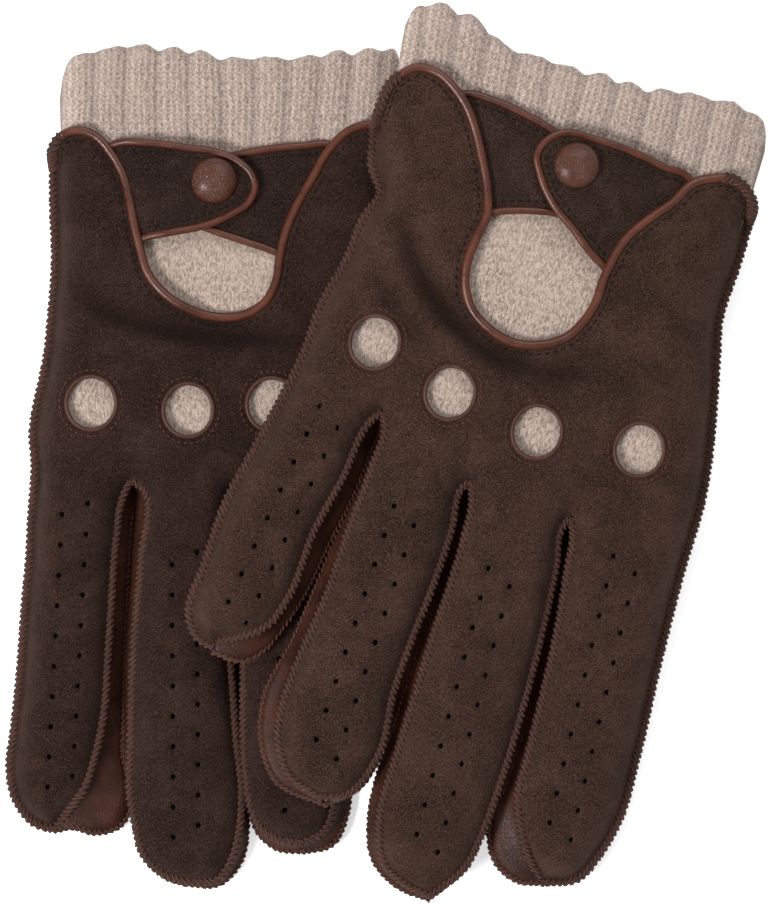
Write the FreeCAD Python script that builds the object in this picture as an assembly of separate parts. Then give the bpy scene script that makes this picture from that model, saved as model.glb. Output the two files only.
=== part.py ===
"""A pair of knit-lined leather driving gloves, lying palm down with the right glove across the left one.

Each glove is drawn in its own flat frame: u runs from the little finger towards the index finger, v runs
from the fingertips towards the cuff, and the origin is the crotch between index and middle finger. Every
piece is an upright prism of its outline, cut out of a thin curved layer. A layer is a skin that follows the
glove's underside, which rises over the folded thumb and, on the right glove, over the glove below.
All sizes are millimetres.
"""

import FreeCAD, Part
import math
import os

from FreeCAD import Rotation, Vector

LEATHER = 1.0  # suede back and smooth palm
SKIN_GAP = 0.1  # air left between neighbouring layers
KNIT = 1.4  # lining jersey
RIB_KNIT = 2.0  # each wall of the cuff
BINDING_WIDTH = 2.6
TAB_BINDING = 2.2
HINGE_GAP = 0.3
UNDER_TAB_TUCK = 2.0  # how far the under tab's root goes beneath the tongue's edge
TAB_LIFT = 0.2  # the over tab's underside above the back panel's top
UNDER_TAB_TOP, UNDER_TAB_BOTTOM = 1.3, 2.2  # both below the back panel's top
ROOT_DEPTH = 14.0  # how far each finger's straight sides run on into the palm
CROTCH_RADIUS = 1.6  # the round notch between two fingers
SEAM_RIM = 0.9  # how far an overcast seam stands out from the edge
WALL_HEIGHT = 90.0
LINING_END_V = 76.0  # the lining meets the cuff here
SNAP_RADIUS = 6.4
SNAP_RISE, SNAP_DOME_RADIUS = 3.4, 8.6
SOCKET_RADIUS, FLANGE_RADIUS = 4.6, 4.2
STUD_RADIUS = 1.9
STUD_CLEARANCE = 0.35
SHANK_RADIUS, SHANK_HOLE_RADIUS = 1.2, 1.3
KNUCKLE_HOLE_RADII = (7.6, 8.1)
FACING_OUTER_RADII, FACING_INNER_RADII = (7.5, 8.0), (6.4, 6.9)
PERFORATION_RADIUS = 0.9
PERFORATION_PITCH = 8.3
PERFORATION_ROW = 3.4  # each row's distance from the finger's middle line
PERFORATIONS_IN_ROW = {"index": 10, "middle": 10, "ring": 9, "little": 7}
FINGERS = ("index", "middle", "ring", "little")

# The glove's length is cut by these stations, and the profiles below give one height at each of them.
STATIONS = (-125.0, -95.0, -60.0, -25.0, 10.0, 45.0, 80.0, 130.0)
THICKNESS = (11.6, 12.6, 13.8, 15.4, 16.4, 16.4, 16.0, 15.4)
LINING_DROP = (1.15, 1.15, 1.15, 1.15, 1.3, 2.6, 3.1, 3.1)  # lining's top below the back panel's top
INDEX_EDGE_U, FOLD_U, LITTLE_EDGE_U = 35.0, -34.0, -90.0  # the underside may be folded along the middle one
SLAB_OVERHANG = 25.0

# Fingers: middle of the base, half width there, centre of the round tip and its radius.
RIGHT = {
    "mirror": 1,
    "turn_deg": -13.4,
    "origin": (48.9, -18.9),
    "underside": {
        INDEX_EDGE_U: (0.2, 0.2, 2.2, 4.8, 6.3, 6.3, 5.0, 3.0),
        FOLD_U: (15.2, 16.4, 17.8, 18.2, 18.2, 17.8, 17.0, 15.4),
        LITTLE_EDGE_U: (16.2, 18.0, 20.8, 22.6, 23.0, 21.4, 19.8, 17.6),
    },
    "fingers": {
        "index": ((17.3, 4), 15.9, (17.6, -83.2), 14.9),
        "middle": ((-14.4, 4), 13.2, (-17.0, -94.2), 13.4),
        "ring": ((-42.0, 12), 12.8, (-49.6, -75.4), 13.2),
        "little": ((-68.0, 20), 13.6, (-81.4, -45.0), 12.2),
    },
    "crotches": ((0.1, 0.0), (-28.8, 2.6), (-54.9, 15.4)),
    "index_side": ((29.6, 112.0), (29.0, 92.0), (27.4, 62.0), (31.1, 40.7), (34.2, 16.5)),
    "little_side": (
        (-82.4, 17.0), (-79.2, 41.0), (-75.0, 54.3), (-71.5, 74.1), (-76.0, 92.0), (-76.0, 112.0),
    ),
    "wrist_edge": (
        (-82, 86), (-76.2, 97), (-68, 108.6), (-57.1, 105.7), (-49.4, 96.5), (-42.8, 83.5), (-41.2, 73.5),
        (-43, 60), (-38.9, 49.4), (-25.5, 43.2), (-12.7, 47.7), (-6.8, 59), (-3.6, 76), (7.6, 91.6),
        (20.0, 100.3), (29.6, 93), (36, 84),
    ),
    "palm_end": 98.0,
    "knuckle_holes": ((14.0, 22.8), (-14.2, 21.0), (-39.5, 25.8), (-62.3, 34.3)),
    "over_tab": (
        (13.5, 95.5), (8.0, 98.6), (-4.5, 100.6), (-15.8, 101.6), (-26.8, 100.8), (-31.5, 94.4),
        (-29.5, 88.5), (-24.2, 81.8), (-16.7, 76.0), (-9.6, 70.4), (-3.5, 66.6),
    ),
    "over_hinge": ((7.8, 99.5), (-10.2, 69.5)),
    "under_tab": (
        (-44.0, 73.6), (-37.4, 75.8), (-24.5, 79.0), (-14.0, 80.5), (-10.2, 88.0), (-15.0, 95.5),
        (-27.0, 100.8), (-40.0, 104.2), (-50.0, 105.0), (-58.0, 102.5),
    ),
    "under_hinge": ((-37.4, 76.5), (-50.0, 104.0)),
    "snap": (-20.6, 93.4),
    "cuff": (
        (26.8, 80.0), (27.6, 97.0), (28.8, 109.0), (24.4, 118.6), (8.0, 120.4), (-14.4, 118.8),
        (-42.5, 120.3), (-56.0, 125.4), (-66.5, 127.6), (-74.2, 120.5), (-73.6, 100.0), (-71.5, 80.0),
    ),
}
LEFT = {
    "mirror": -1,
    "turn_deg": 0.0,
    "origin": (-70.7, -10.0),
    "underside": {
        INDEX_EDGE_U: (0.2, 0.2, 4.0, 8.5, 11.4, 11.4, 8.0, 3.0),
        FOLD_U: (0.2, 0.2, 1.8, 3.8, 4.8, 4.6, 3.4, 1.3),
        LITTLE_EDGE_U: (0.2, 0.2, 0.1, 0.0, 0.0, 0.0, 0.0, 0.0),
    },
    "fingers": {
        "index": ((13.8, 4), 13.0, (19.0, -80.6), 13.9),
        "middle": ((-15.2, 4), 12.9, (-15.2, -94.2), 14.2),
        "ring": ((-42.2, 8), 12.6, (-45.6, -86.6), 13.9),
        "little": ((-68.6, 18), 12.9, (-72.2, -52.0), 12.2),
    },
    "crotches": ((-0.7, 0.0), (-29.0, -1.4), (-55.1, 13.4)),
    "index_side": ((21.2, 104.0), (21.2, 88.0), (20.2, 62.0), (24.2, 30.0), (26.6, 14.0)),
    "little_side": (
        (-82.2, 20.0), (-80.4, 40.0), (-76.5, 56.0), (-72.5, 74.0), (-75.6, 88.0), (-75.6, 104.0),
    ),
    "wrist_edge": (
        (-82, 78), (-75.6, 90), (-66.0, 98.6), (-56.4, 94.0), (-50, 84.2), (-44.4, 74), (-41.2, 63.6),
        (-38.2, 52), (-27.5, 46.3), (-14.6, 49.2), (-5.6, 57), (-1.6, 70.7), (2.2, 86), (7.0, 93.6),
        (13.2, 97.0), (20.6, 91), (28, 82),
    ),
    "palm_end": 92.0,
    "knuckle_holes": ((10.0, 22.7), (-16.2, 20.8), (-38.8, 22.4), (-61.5, 31.0)),
    "over_tab": (
        (9.0, 89.5), (2.7, 92.9), (-6.2, 93.6), (-15.7, 92.4), (-25.0, 90.8), (-33.2, 85.3), (-34.2, 80.5),
        (-29.0, 74.6), (-19.7, 70.9), (-8.3, 68.0), (0.0, 64.8),
    ),
    "over_hinge": ((2.7, 93.6), (-6.3, 66.4)),
    "under_tab": (
        (-44.0, 61.8), (-37.5, 64.2), (-31.9, 66.5), (-23.8, 69.3), (-13.5, 74.5), (-10.8, 81.0),
        (-17.0, 87.4), (-28.4, 90.6), (-40.0, 92.9), (-50.0, 93.4), (-58.0, 90.5),
    ),
    "under_hinge": ((-37.5, 64.2), (-51.3, 94.0)),
    "snap": (-23.2, 83.2),
    "cuff": (
        (19.4, 78.0), (19.4, 104.5), (14.0, 117.6), (-4.0, 120.3), (-25.0, 117.6), (-46.7, 117.4),
        (-64.0, 119.2), (-73.0, 113.0), (-73.6, 98.0), (-71.6, 78.0),
    ),
}
# The thumb lies folded under the palm, pointing at the fingers.
THUMB_MOUTH, THUMB_TIP = (11.0, 60.0), (9.0, -2.0)
THUMB_MOUTH_HALF, THUMB_TIP_RADIUS = 13.0, 11.8
THUMB_LEATHER, THUMB_KNIT = 0.9, 0.8
THUMB_HOLE, THUMB_HOLE_RADII = (11.0, 47.0), (9.0, 8.5)
THUMB_RUN_ON = 5.0  # the stall's room is cut this far past its mouth
QUIRK_GAP = 0.3


def profile(heights, offset=0.0):
    """Heights at the stations, raised by one offset or by one offset for each station."""
    offsets = offset if hasattr(offset, "__len__") else (offset,) * len(heights)
    return [h + o for h, o in zip(heights, offsets)]


def curve_through(points):
    curve = Part.BSplineCurve()
    curve.interpolate([Vector(*p) for p in points])
    return curve


def flat_face(edges):
    return Part.Face(Part.Wire(edges))


def polygon_face(corners):
    return Part.Face(Part.makePolygon(corners + corners[:1]))


class Glove:
    """One glove's outlines and layers, in its own frame, and its place in the pair."""

    def __init__(self, name, spec):
        self.name, self.spec, self.mirror = name, spec, spec["mirror"]
        self.pieces = {}

    def at(self, u, v, z=0.0):
        return Vector(self.mirror * u, v, z)

    def placed(self, shape):
        x, y = self.spec["origin"]
        turned = shape.copy()
        turn = Rotation(Vector(0, 0, 1), self.spec["turn_deg"])
        turned.Placement = FreeCAD.Placement(Vector(x, y, 0), turn)
        return turned

    def keep(self, piece, shape):
        """Stores a piece, as one solid or as a compound of several."""
        solids = shape.Solids
        joined = solids[0] if len(solids) == 1 else Part.makeCompound(solids)
        self.pieces[f"{self.name}_{piece}"] = self.placed(joined)

    # Outlines -------------------------------------------------------------------------------------------

    def prism(self, face):
        return face.extrude(Vector(0, 0, WALL_HEIGHT)).translated(Vector(0, 0, -10))

    def spline_edge(self, points):
        return curve_through([self.at(*p) for p in points]).toShape()

    def line(self, a, b):
        return Part.makeLine(self.at(*a), self.at(*b))

    def polygon(self, points):
        return polygon_face([self.at(*p) for p in points])

    def capsule(self, base, base_half, tip, tip_radius, inset=0.0):
        """A finger's outline: straight sides from the base to a round tip, drawn in by the inset."""
        along = Vector(tip[0] - base[0], tip[1] - base[1], 0).normalize()
        side = Vector(-along.y, along.x, 0)
        wide, round_end = base_half - inset, tip_radius - inset
        b, t = Vector(base[0], base[1], 0), Vector(tip[0], tip[1], 0)
        ends = (t + side * round_end, t + along * round_end, t - side * round_end)
        p = [self.at(c.x, c.y) for c in (b + side * wide, *ends, b - side * wide)]
        return flat_face([
            Part.makeLine(p[0], p[1]),
            Part.Arc(p[1], p[2], p[3]).toShape(),
            Part.makeLine(p[3], p[4]),
            Part.makeLine(p[4], p[0]),
        ])

    def finger(self, name):
        """Root, half width there, tip centre and tip radius, with the root set well inside the palm."""
        base, base_half, tip, tip_radius = self.spec["fingers"][name]
        length = math.hypot(base[0] - tip[0], base[1] - tip[1])
        more = ROOT_DEPTH / length
        root = tuple(b + (b - t) * more for b, t in zip(base, tip))
        return root, base_half + (base_half - tip_radius) * more, tip, tip_radius

    def hand(self, inset=0.0):
        """Upright prism of the whole hand, from the fingertips past the tongues, drawn in by the inset."""
        s = self.spec
        sides = list(s["index_side"]) + list(s["crotches"]) + list(s["little_side"])
        face = self.polygon(sides)
        if inset:
            face = face.makeOffset2D(-inset, join=2)
        body = self.prism(face)
        stalls = [self.prism(self.capsule(*self.finger(f), inset=inset)) for f in FINGERS]
        notches = [self.ellipse(c, CROTCH_RADIUS + inset, CROTCH_RADIUS + inset) for c in s["crotches"]]
        return body.fuse(stalls).cut(notches).removeSplitter()

    def beyond(self, v, v_end=200.0):
        """A block that covers everything from v towards the cuff."""
        return self.prism(self.polygon([(90, v), (90, v_end), (-150, v_end), (-150, v)]))

    def ellipse(self, centre, across, along):
        """An upright oval post."""
        long_first = along > across
        radii = (along, across) if long_first else (across, along)
        oval = Part.Ellipse(Vector(0, 0, 0), *radii).toShape()
        if long_first:
            oval.rotate(Vector(0, 0, 0), Vector(0, 0, 1), 90)
        oval.translate(self.at(*centre))
        return self.prism(flat_face([oval]))

    def shifted(self, points, distance, samples=70):
        """Points on the smooth curve through the given ones, moved sideways to the left of its direction."""
        curve = curve_through([(*p, 0) for p in points])
        moved = []
        for i in range(samples + 1):
            t = curve.FirstParameter + (curve.LastParameter - curve.FirstParameter) * i / samples
            spot, heading = curve.value(t), curve.tangent(t)[0]
            moved.append((spot.x - heading.y * distance, spot.y + heading.x * distance))
        return moved

    def strip(self, points, near, far):
        """Upright prism of the band between two curves at these distances from the given one."""
        a, b = self.shifted(points, near), self.shifted(points, far)
        return self.prism(flat_face([
            self.spline_edge(a), self.line(a[-1], b[-1]), self.spline_edge(b), self.line(b[0], a[0]),
        ]))

    def above_wrist_edge(self, distance):
        """Upright prism of all that lies on the cuff's side of the wrist edge, moved by the distance."""
        edge = self.shifted(self.spec["wrist_edge"], distance)
        first, last = edge[0], edge[-1]
        return self.prism(flat_face([
            self.spline_edge(edge),
            self.line(last, (last[0], 180)),
            self.line((last[0], 180), (first[0], 180)),
            self.line((first[0], 180), first),
        ]))

    # Layers ---------------------------------------------------------------------------------------------

    def columns(self):
        """The underside's heights along the glove at each u, carried on straight past both edges."""
        heights = self.spec["underside"]
        index, fold, little = (heights[u] for u in (INDEX_EDGE_U, FOLD_U, LITTLE_EDGE_U))
        index_reach = SLAB_OVERHANG / (INDEX_EDGE_U - FOLD_U)
        little_reach = SLAB_OVERHANG / (FOLD_U - LITTLE_EDGE_U)
        return (
            (INDEX_EDGE_U + SLAB_OVERHANG, [a + (a - b) * index_reach for a, b in zip(index, fold)]),
            (FOLD_U, list(fold)),
            (LITTLE_EDGE_U - SLAB_OVERHANG, [a + (a - b) * little_reach for a, b in zip(little, fold)]),
        )

    def layer(self, low, high):
        """A thin skin of flat facets, from low to high above the underside."""

        def rows(offset):
            return [
                [self.at(u, v, z) for v, z in zip(STATIONS, profile(heights, offset))]
                for u, heights in self.columns()
            ]

        faces = []
        bottom, top = rows(low), rows(high)
        for skin in (bottom, top):
            for a, b in zip(skin, skin[1:]):
                for i in range(len(STATIONS) - 1):
                    faces.append(polygon_face([a[i], a[i + 1], b[i + 1]]))
                    faces.append(polygon_face([a[i], b[i + 1], b[i]]))
        for side in (0, -1):
            faces.append(polygon_face(bottom[side] + top[side][::-1]))
        for end in (0, -1):
            faces.append(polygon_face([row[end] for row in bottom] + [row[end] for row in top[::-1]]))
        return Part.Solid(Part.makeShell(faces)).removeSplitter()

    def height(self, u, v, offset=0.0):
        """Height above the floor of the underside, raised by the offset, at one place."""
        columns = [(cu, profile(heights, offset)) for cu, heights in self.columns()]
        (ua, heights_a), (ub, heights_b) = columns[:2] if u > FOLD_U else columns[1:]
        across = (u - ub) / (ua - ub)
        i = max(k for k in range(len(STATIONS) - 1) if STATIONS[k] <= v)
        along = (v - STATIONS[i]) / (STATIONS[i + 1] - STATIONS[i])
        at_a = heights_a[i] + (heights_a[i + 1] - heights_a[i]) * along
        at_b = heights_b[i] + (heights_b[i + 1] - heights_b[i]) * along
        return at_b + (at_a - at_b) * across

    def from_top(self, depth):
        """Offsets of a surface this far below the back panel's top face, at the stations."""
        depths = depth if hasattr(depth, "__len__") else (depth,) * len(STATIONS)
        return [t - d for t, d in zip(THICKNESS, depths)]

    # Pieces ---------------------------------------------------------------------------------------------

    def outer_zone(self):
        """Upright prism of the two outer edges of the hand, where the back panel wraps down to the palm."""
        zones = []
        for finger, beside in (("index", 90), ("little", -150)):
            base, _, tip, _ = self.finger(finger)
            corners = [(beside, 180), (base[0], 180), base, tip, (tip[0], -150), (beside, -150)]
            zones.append(self.prism(self.polygon(corners)))
        return zones[0].fuse(zones[1])

    def perforations(self):
        """Two staggered rows of small holes along each finger."""
        posts = []
        for finger in FINGERS:
            base, _, tip, _ = self.spec["fingers"][finger]
            along = Vector(base[0] - tip[0], base[1] - tip[1], 0).normalize()
            side = Vector(-along.y, along.x, 0)
            for row in (-1, 1):
                for i in range(PERFORATIONS_IN_ROW[finger]):
                    step = (i + 0.2 * row) * PERFORATION_PITCH
                    spot = Vector(tip[0], tip[1], 0) + along * step + side * (row * PERFORATION_ROW)
                    circle = Part.makeCircle(PERFORATION_RADIUS, self.at(spot.x, spot.y))
                    posts.append(self.prism(flat_face([circle])))
        return posts

    def back_panel(self):
        s = self.spec
        half = BINDING_WIDTH / 2
        sheet = self.hand().cut(self.above_wrist_edge(-half - SKIN_GAP / 2))
        holes = [self.ellipse(c, *KNUCKLE_HOLE_RADII) for c in s["knuckle_holes"]]
        sheet = sheet.cut(holes + self.perforations())
        skin = sheet.common(self.layer(self.from_top(LEATHER), self.from_top(0)))
        wall = self.hand().cut(self.hand(inset=LEATHER)).common(self.outer_zone())
        wall = wall.cut(self.beyond(s["palm_end"]))
        wall = wall.cut(self.above_wrist_edge(-half - SKIN_GAP / 2))
        wall = wall.common(self.layer(LEATHER + SKIN_GAP, self.from_top(LEATHER)))
        self.keep("back_panel", skin.fuse(wall).removeSplitter())

    def wrist_binding(self):
        half = BINDING_WIDTH / 2
        band = self.strip(self.spec["wrist_edge"], -half, half).common(self.hand())
        self.keep("wrist_binding", band.common(self.layer(self.from_top(LEATHER), self.from_top(-0.4))))

    def knuckle_facings(self):
        rings = []
        for centre in self.spec["knuckle_holes"]:
            ring = self.ellipse(centre, *FACING_OUTER_RADII).cut(self.ellipse(centre, *FACING_INNER_RADII))
            rings.append(ring.common(self.layer(self.from_top(LEATHER), self.from_top(-0.2))))
        self.keep("knuckle_hole_facings", Part.makeCompound(rings))

    def palm_panel(self):
        hole = self.ellipse(THUMB_HOLE, *THUMB_HOLE_RADII)
        sheet = self.hand().cut([hole, self.beyond(self.spec["palm_end"])])
        self.keep("palm_panel", sheet.common(self.layer(0, LEATHER)))

    def fourchettes(self):
        """The folded strip between each two fingers, as walls along their facing sides."""
        walls = self.hand().cut(self.hand(inset=LEATHER))
        walls = walls.common(self.layer(LEATHER + SKIN_GAP, self.from_top(LEATHER + SKIN_GAP)))
        gap = SKIN_GAP / 2
        for near, far in zip(FINGERS, FINGERS[1:]):
            near_root, _, near_tip, _ = self.finger(near)
            far_root, _, far_tip, _ = self.finger(far)
            near_side = [(near_root[0] - gap, near_root[1]), (near_tip[0] - gap, near_tip[1])]
            far_side = [(far_tip[0] + gap, far_tip[1]), (far_root[0] + gap, far_root[1])]
            zone = [*near_side, (near_tip[0] - gap, -140), (far_tip[0] + gap, -140), *far_side]
            strip = walls.common(self.prism(self.polygon(zone)))
            self.keep(f"fourchette_{near}_{far}", strip)

    def lining(self):
        inset = LEATHER + SKIN_GAP
        mouth = self.beyond(LINING_END_V)
        outer = self.hand(inset=inset).cut(mouth)
        inner = self.hand(inset=inset + KNIT)
        top = self.from_top(LINING_DROP)
        under_top = self.from_top([d + KNIT for d in LINING_DROP])
        floor = LEATHER + SKIN_GAP
        skin = outer.common(self.layer(under_top, top))
        wall = outer.cut(inner).common(self.layer(floor + KNIT + SKIN_GAP / 2, under_top))
        self.keep("lining_back", skin.fuse(wall).removeSplitter())
        sheet = outer.cut(self.ellipse(THUMB_HOLE, *THUMB_HOLE_RADII))
        self.keep("lining_palm", sheet.common(self.layer(floor, floor + KNIT)))

    def cuff(self):
        points = self.spec["cuff"]
        outer = self.cuff_prism(points, 0.0)
        inner = self.cuff_prism(points, RIB_KNIT, open_ends=True)
        floor, top = LEATHER + SKIN_GAP, LINING_DROP[-1]
        body = outer.common(self.layer(floor, self.from_top(top)))
        hollow = inner.common(self.layer(floor + RIB_KNIT, self.from_top(top + RIB_KNIT)))
        self.keep("rib_cuff", body.cut(hollow))

    def cuff_prism(self, points, inset, open_ends=False):
        """Upright prism of the cuff. With open ends, the inside runs out past both its edges."""
        centre = sum(p[0] for p in points) / len(points)
        start_v = LINING_END_V + SKIN_GAP
        drawn = [(u - math.copysign(inset, u - centre), max(v, start_v)) for u, v in points]
        if open_ends:
            first_u, last_u = drawn[0][0] - 0.6, drawn[-1][0] + 0.6
            return self.prism(self.polygon([(first_u, 60), (first_u, 150), (last_u, 150), (last_u, 60)]))
        edge = self.spline_edge(drawn)
        return self.prism(flat_face([edge, self.line(drawn[-1], drawn[0])]))

    def beside_hinge(self, ends, side, gap):
        """Upright prism of everything on one side of a hinge line, kept clear of it by the gap."""
        (au, av), (bu, bv) = ends
        along = Vector(bu - au, bv - av, 0).normalize()
        away = Vector(-along.y, along.x, 0) * side
        near, far = away * gap, away * 60
        start, end = Vector(au, av, 0) - along * 30, Vector(bu, bv, 0) + along * 30
        corners = [start + near, end + near, end + far, start + far]
        return self.prism(self.polygon([(c.x, c.y) for c in corners]))

    def tab(self, piece, low, high, root_reach):
        """A wrist tab with its bound edge and, across the hinge line, its sewn root."""
        points, hinge = self.spec[piece], self.spec[f"{piece.split('_')[0]}_hinge"]
        whole = self.prism(flat_face([self.spline_edge(points), self.line(points[-1], points[0])]))
        skin = self.layer(low, high)
        free = whole.common(self.beside_hinge(hinge, -1, HINGE_GAP / 2))
        root = whole.common(self.beside_hinge(hinge, 1, HINGE_GAP / 2))
        self.keep(f"{piece}_root", root.common(self.above_wrist_edge(root_reach)).common(skin))
        self.keep(f"{piece}_binding", free.common(self.strip(points, -1.0, TAB_BINDING)).common(skin))
        return free.cut(self.strip(points, -1.0, TAB_BINDING + SKIN_GAP / 2)).common(skin)

    def post(self, radius):
        """An upright round post at the snap."""
        return self.ellipse(self.spec["snap"], radius, radius)

    def disc(self, radius, bottom, top):
        """A slice of that post, between two depths below the back panel's top."""
        return self.post(radius).common(self.layer(self.from_top(bottom), self.from_top(top)))

    def tabs_and_snap(self):
        gap = SKIN_GAP / 2
        over_bottom, over_top = -TAB_LIFT, -TAB_LIFT - LEATHER
        root_reach = BINDING_WIDTH / 2 + gap
        over = self.tab("over_tab", self.from_top(over_bottom), self.from_top(over_top), root_reach)
        self.keep("over_tab", over.cut(self.post(SHANK_HOLE_RADIUS)))
        under_bottom, under_top = self.from_top(UNDER_TAB_BOTTOM), self.from_top(UNDER_TAB_TOP)
        under = self.tab("under_tab", under_bottom, under_top, -UNDER_TAB_TUCK)
        self.keep("under_tab", under.cut(self.post(SHANK_HOLE_RADIUS)))

        cap_base = over_top - gap
        centre_z = self.height(*self.spec["snap"], self.from_top(cap_base)) + SNAP_RISE - SNAP_DOME_RADIUS
        dome = Part.makeSphere(SNAP_DOME_RADIUS, self.at(*self.spec["snap"], centre_z))
        cap = self.disc(SNAP_RADIUS, cap_base, -8.0).common(dome)
        shank = self.disc(SHANK_RADIUS, over_bottom + gap, over_top - 0.6)
        self.keep("snap_cap", cap.fuse(shank).removeSplitter())
        socket = self.disc(SOCKET_RADIUS, UNDER_TAB_TOP - SKIN_GAP, over_bottom + gap)
        self.keep("snap_socket", socket.cut(self.post(STUD_RADIUS + STUD_CLEARANCE)))
        self.keep("snap_stud", self.disc(STUD_RADIUS, UNDER_TAB_TOP - 0.02, 0.15))
        flange = self.disc(FLANGE_RADIUS, UNDER_TAB_BOTTOM + 0.6, UNDER_TAB_BOTTOM + gap)
        rivet = self.disc(SHANK_RADIUS, UNDER_TAB_BOTTOM + 0.3, UNDER_TAB_TOP + gap)
        self.keep("snap_post", flange.fuse(rivet).removeSplitter())

    def seams(self):
        """The overcast thread along the fingers and the outer edges, as a rim on each of its two seams."""
        hand = self.hand()
        rim = self.hand(inset=-SEAM_RIM).cut(hand).cut(self.beyond(88.0))
        self.keep("back_seam_thread", rim.common(self.layer(self.from_top(1.5), self.from_top(0.1))))
        self.keep("palm_seam_thread", rim.common(self.layer(0.3, 1.7)))

    def thumb(self):
        """The folded thumb: a leather stall with a flat underside, its lining, and the quirk behind it."""
        self.keep("thumb", self.thumb_body(0.0).cut([self.thumb_room(THUMB_LEATHER), self.thumb_hole()]))
        inset = THUMB_LEATHER + SKIN_GAP / 2
        lining = self.thumb_body(inset).cut([self.thumb_room(inset + THUMB_KNIT), self.thumb_hole()])
        self.keep("thumb_lining", lining)
        u, v = THUMB_MOUTH
        half, near, far = THUMB_MOUTH_HALF - 1.5, v + QUIRK_GAP, v + QUIRK_GAP + LEATHER
        wall = self.polygon([(u - half, near), (u + half, near), (u + half, far), (u - half, far)])
        quirk = self.prism(wall).common(self.layer(-60.0, -SKIN_GAP)).common(self.above_floor(LEATHER))
        self.keep("thumb_quirk", quirk)

    def thumb_body(self, inset):
        """The thumb's outline, floor and top, all drawn in by the inset, as far as its open mouth."""
        return self.thumb_room(inset).cut(self.beyond_mouth())

    def thumb_room(self, inset):
        """The same, run on past the mouth."""
        length = math.dist(THUMB_MOUTH, THUMB_TIP)
        more = THUMB_RUN_ON / length
        mouth = tuple(m + (m - t) * more for m, t in zip(THUMB_MOUTH, THUMB_TIP))
        mouth_half = THUMB_MOUTH_HALF + (THUMB_MOUTH_HALF - THUMB_TIP_RADIUS) * more
        face = self.capsule(mouth, mouth_half, THUMB_TIP, THUMB_TIP_RADIUS, inset=inset)
        return self.prism(face).common(self.layer(-60.0, -SKIN_GAP - inset)).common(self.above_floor(inset))

    def thumb_hole(self):
        """The way from the hand into the thumb, cut out of the top of the stall."""
        return self.ellipse(THUMB_HOLE, *THUMB_HOLE_RADII).common(self.above_floor(3.0))

    def beyond_mouth(self):
        return self.beyond(THUMB_MOUTH[1])

    def above_floor(self, z):
        return Part.makeBox(400, 400, 60, Vector(-200, -200, z))

    def build(self):
        for step in (
            self.back_panel, self.wrist_binding, self.knuckle_facings, self.palm_panel, self.fourchettes,
            self.lining, self.cuff, self.tabs_and_snap, self.seams, self.thumb,
        ):
            step()
        return self.pieces


def main():
    os.makedirs("parts", exist_ok=True)
    for glove in (Glove("left", LEFT), Glove("right", RIGHT)):
        for node, shape in glove.build().items():
            if not shape.Solids or not all(s.isValid() and s.Volume > 0 for s in shape.Solids):
                print("PROBLEM", node, len(shape.Solids), [round(s.Volume, 2) for s in shape.Solids])
            shape.exportStep(f"parts/{node}.step")
            print(node, len(shape.Solids), "solids", round(sum(s.Volume for s in shape.Solids)), "mm3")


main()
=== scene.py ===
"""A pair of knit-lined suede driving gloves, the right one laid across the left one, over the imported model.

Each glove is drawn in its own flat frame in millimetres: u runs towards the index finger, v towards the cuff,
and the origin is the crotch between index and middle finger. Glove.place turns that into the row frame.
"""

import math

import bpy
import numpy as np
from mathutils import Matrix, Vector, geometry


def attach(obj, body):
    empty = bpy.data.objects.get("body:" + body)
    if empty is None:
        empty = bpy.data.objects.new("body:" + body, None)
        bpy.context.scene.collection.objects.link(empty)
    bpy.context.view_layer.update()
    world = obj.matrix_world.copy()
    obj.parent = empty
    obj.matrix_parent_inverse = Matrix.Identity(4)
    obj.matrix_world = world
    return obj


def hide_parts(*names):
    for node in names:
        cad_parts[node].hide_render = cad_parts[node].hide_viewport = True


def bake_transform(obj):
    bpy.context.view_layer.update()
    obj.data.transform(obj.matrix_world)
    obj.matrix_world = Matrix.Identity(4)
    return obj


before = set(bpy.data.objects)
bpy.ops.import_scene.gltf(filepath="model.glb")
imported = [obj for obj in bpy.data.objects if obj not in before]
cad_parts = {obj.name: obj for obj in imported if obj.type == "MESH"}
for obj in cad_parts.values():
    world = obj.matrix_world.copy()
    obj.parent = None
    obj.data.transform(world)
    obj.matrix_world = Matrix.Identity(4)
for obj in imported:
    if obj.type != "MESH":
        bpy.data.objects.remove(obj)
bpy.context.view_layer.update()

MM = 0.001
STATIONS = (-125, -95, -60, -25, 10, 45, 80, 130)
THICKNESS = (11.6, 12.6, 13.8, 15.4, 16.4, 16.4, 16.0, 15.4)
COLUMNS = (-90.0, -34.0, 35.0)  # u of the little finger's edge, of the fold and of the index finger's edge
BLUR = 8  # how far the underside's slopes are rounded off
LEATHER, LINING = 1.0, 0.9
LINING_INSET, CLEARANCE = 3.8, 0.3  # the lining's distance from the seams, and from the leather above it
ROUND_REACH, CROWN_REACH = 6.2, 13.0  # how far in from a seam the leather turns over, and goes on rising
LOW_SEAM, HIGH_SEAM, DEEP_SEAM = 0.30, 0.62, 0.14  # seam heights as a share of the glove's thickness
OUTER_BAND, INNER_BAND = 1.5, 0.7  # flat leather between a seam's outer edge and the fold beside it
STITCH_PITCH = 1.6
WHIP_STEPS, WHIP_OVER = 12, 0.78  # points in one turn of seam thread, and the share of it on top of the seam
TUBE_TIP = 0.35  # a tube's size at its rounded ends, as a share of its full size
RIB_PITCH, RIB_DEPTH, CUFF_START = 8.3, 1.15, 78.5
KNUCKLE_RADII = (6.6, 7.1)
PERFORATION_PITCH, PERFORATION_ROW, PERFORATION_RADII = 8.3, 3.4, (0.68, 0.80)
PERFORATIONS = {"index": 10, "middle": 10, "ring": 9, "little": 8}
THUMB_HOLE, THUMB_HOLE_RADII = (11.0, 47.0), (9.0, 8.5)
THUMB_MOUTH, THUMB_TIP = (11.0, 60.0), (9.0, -2.0)
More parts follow.
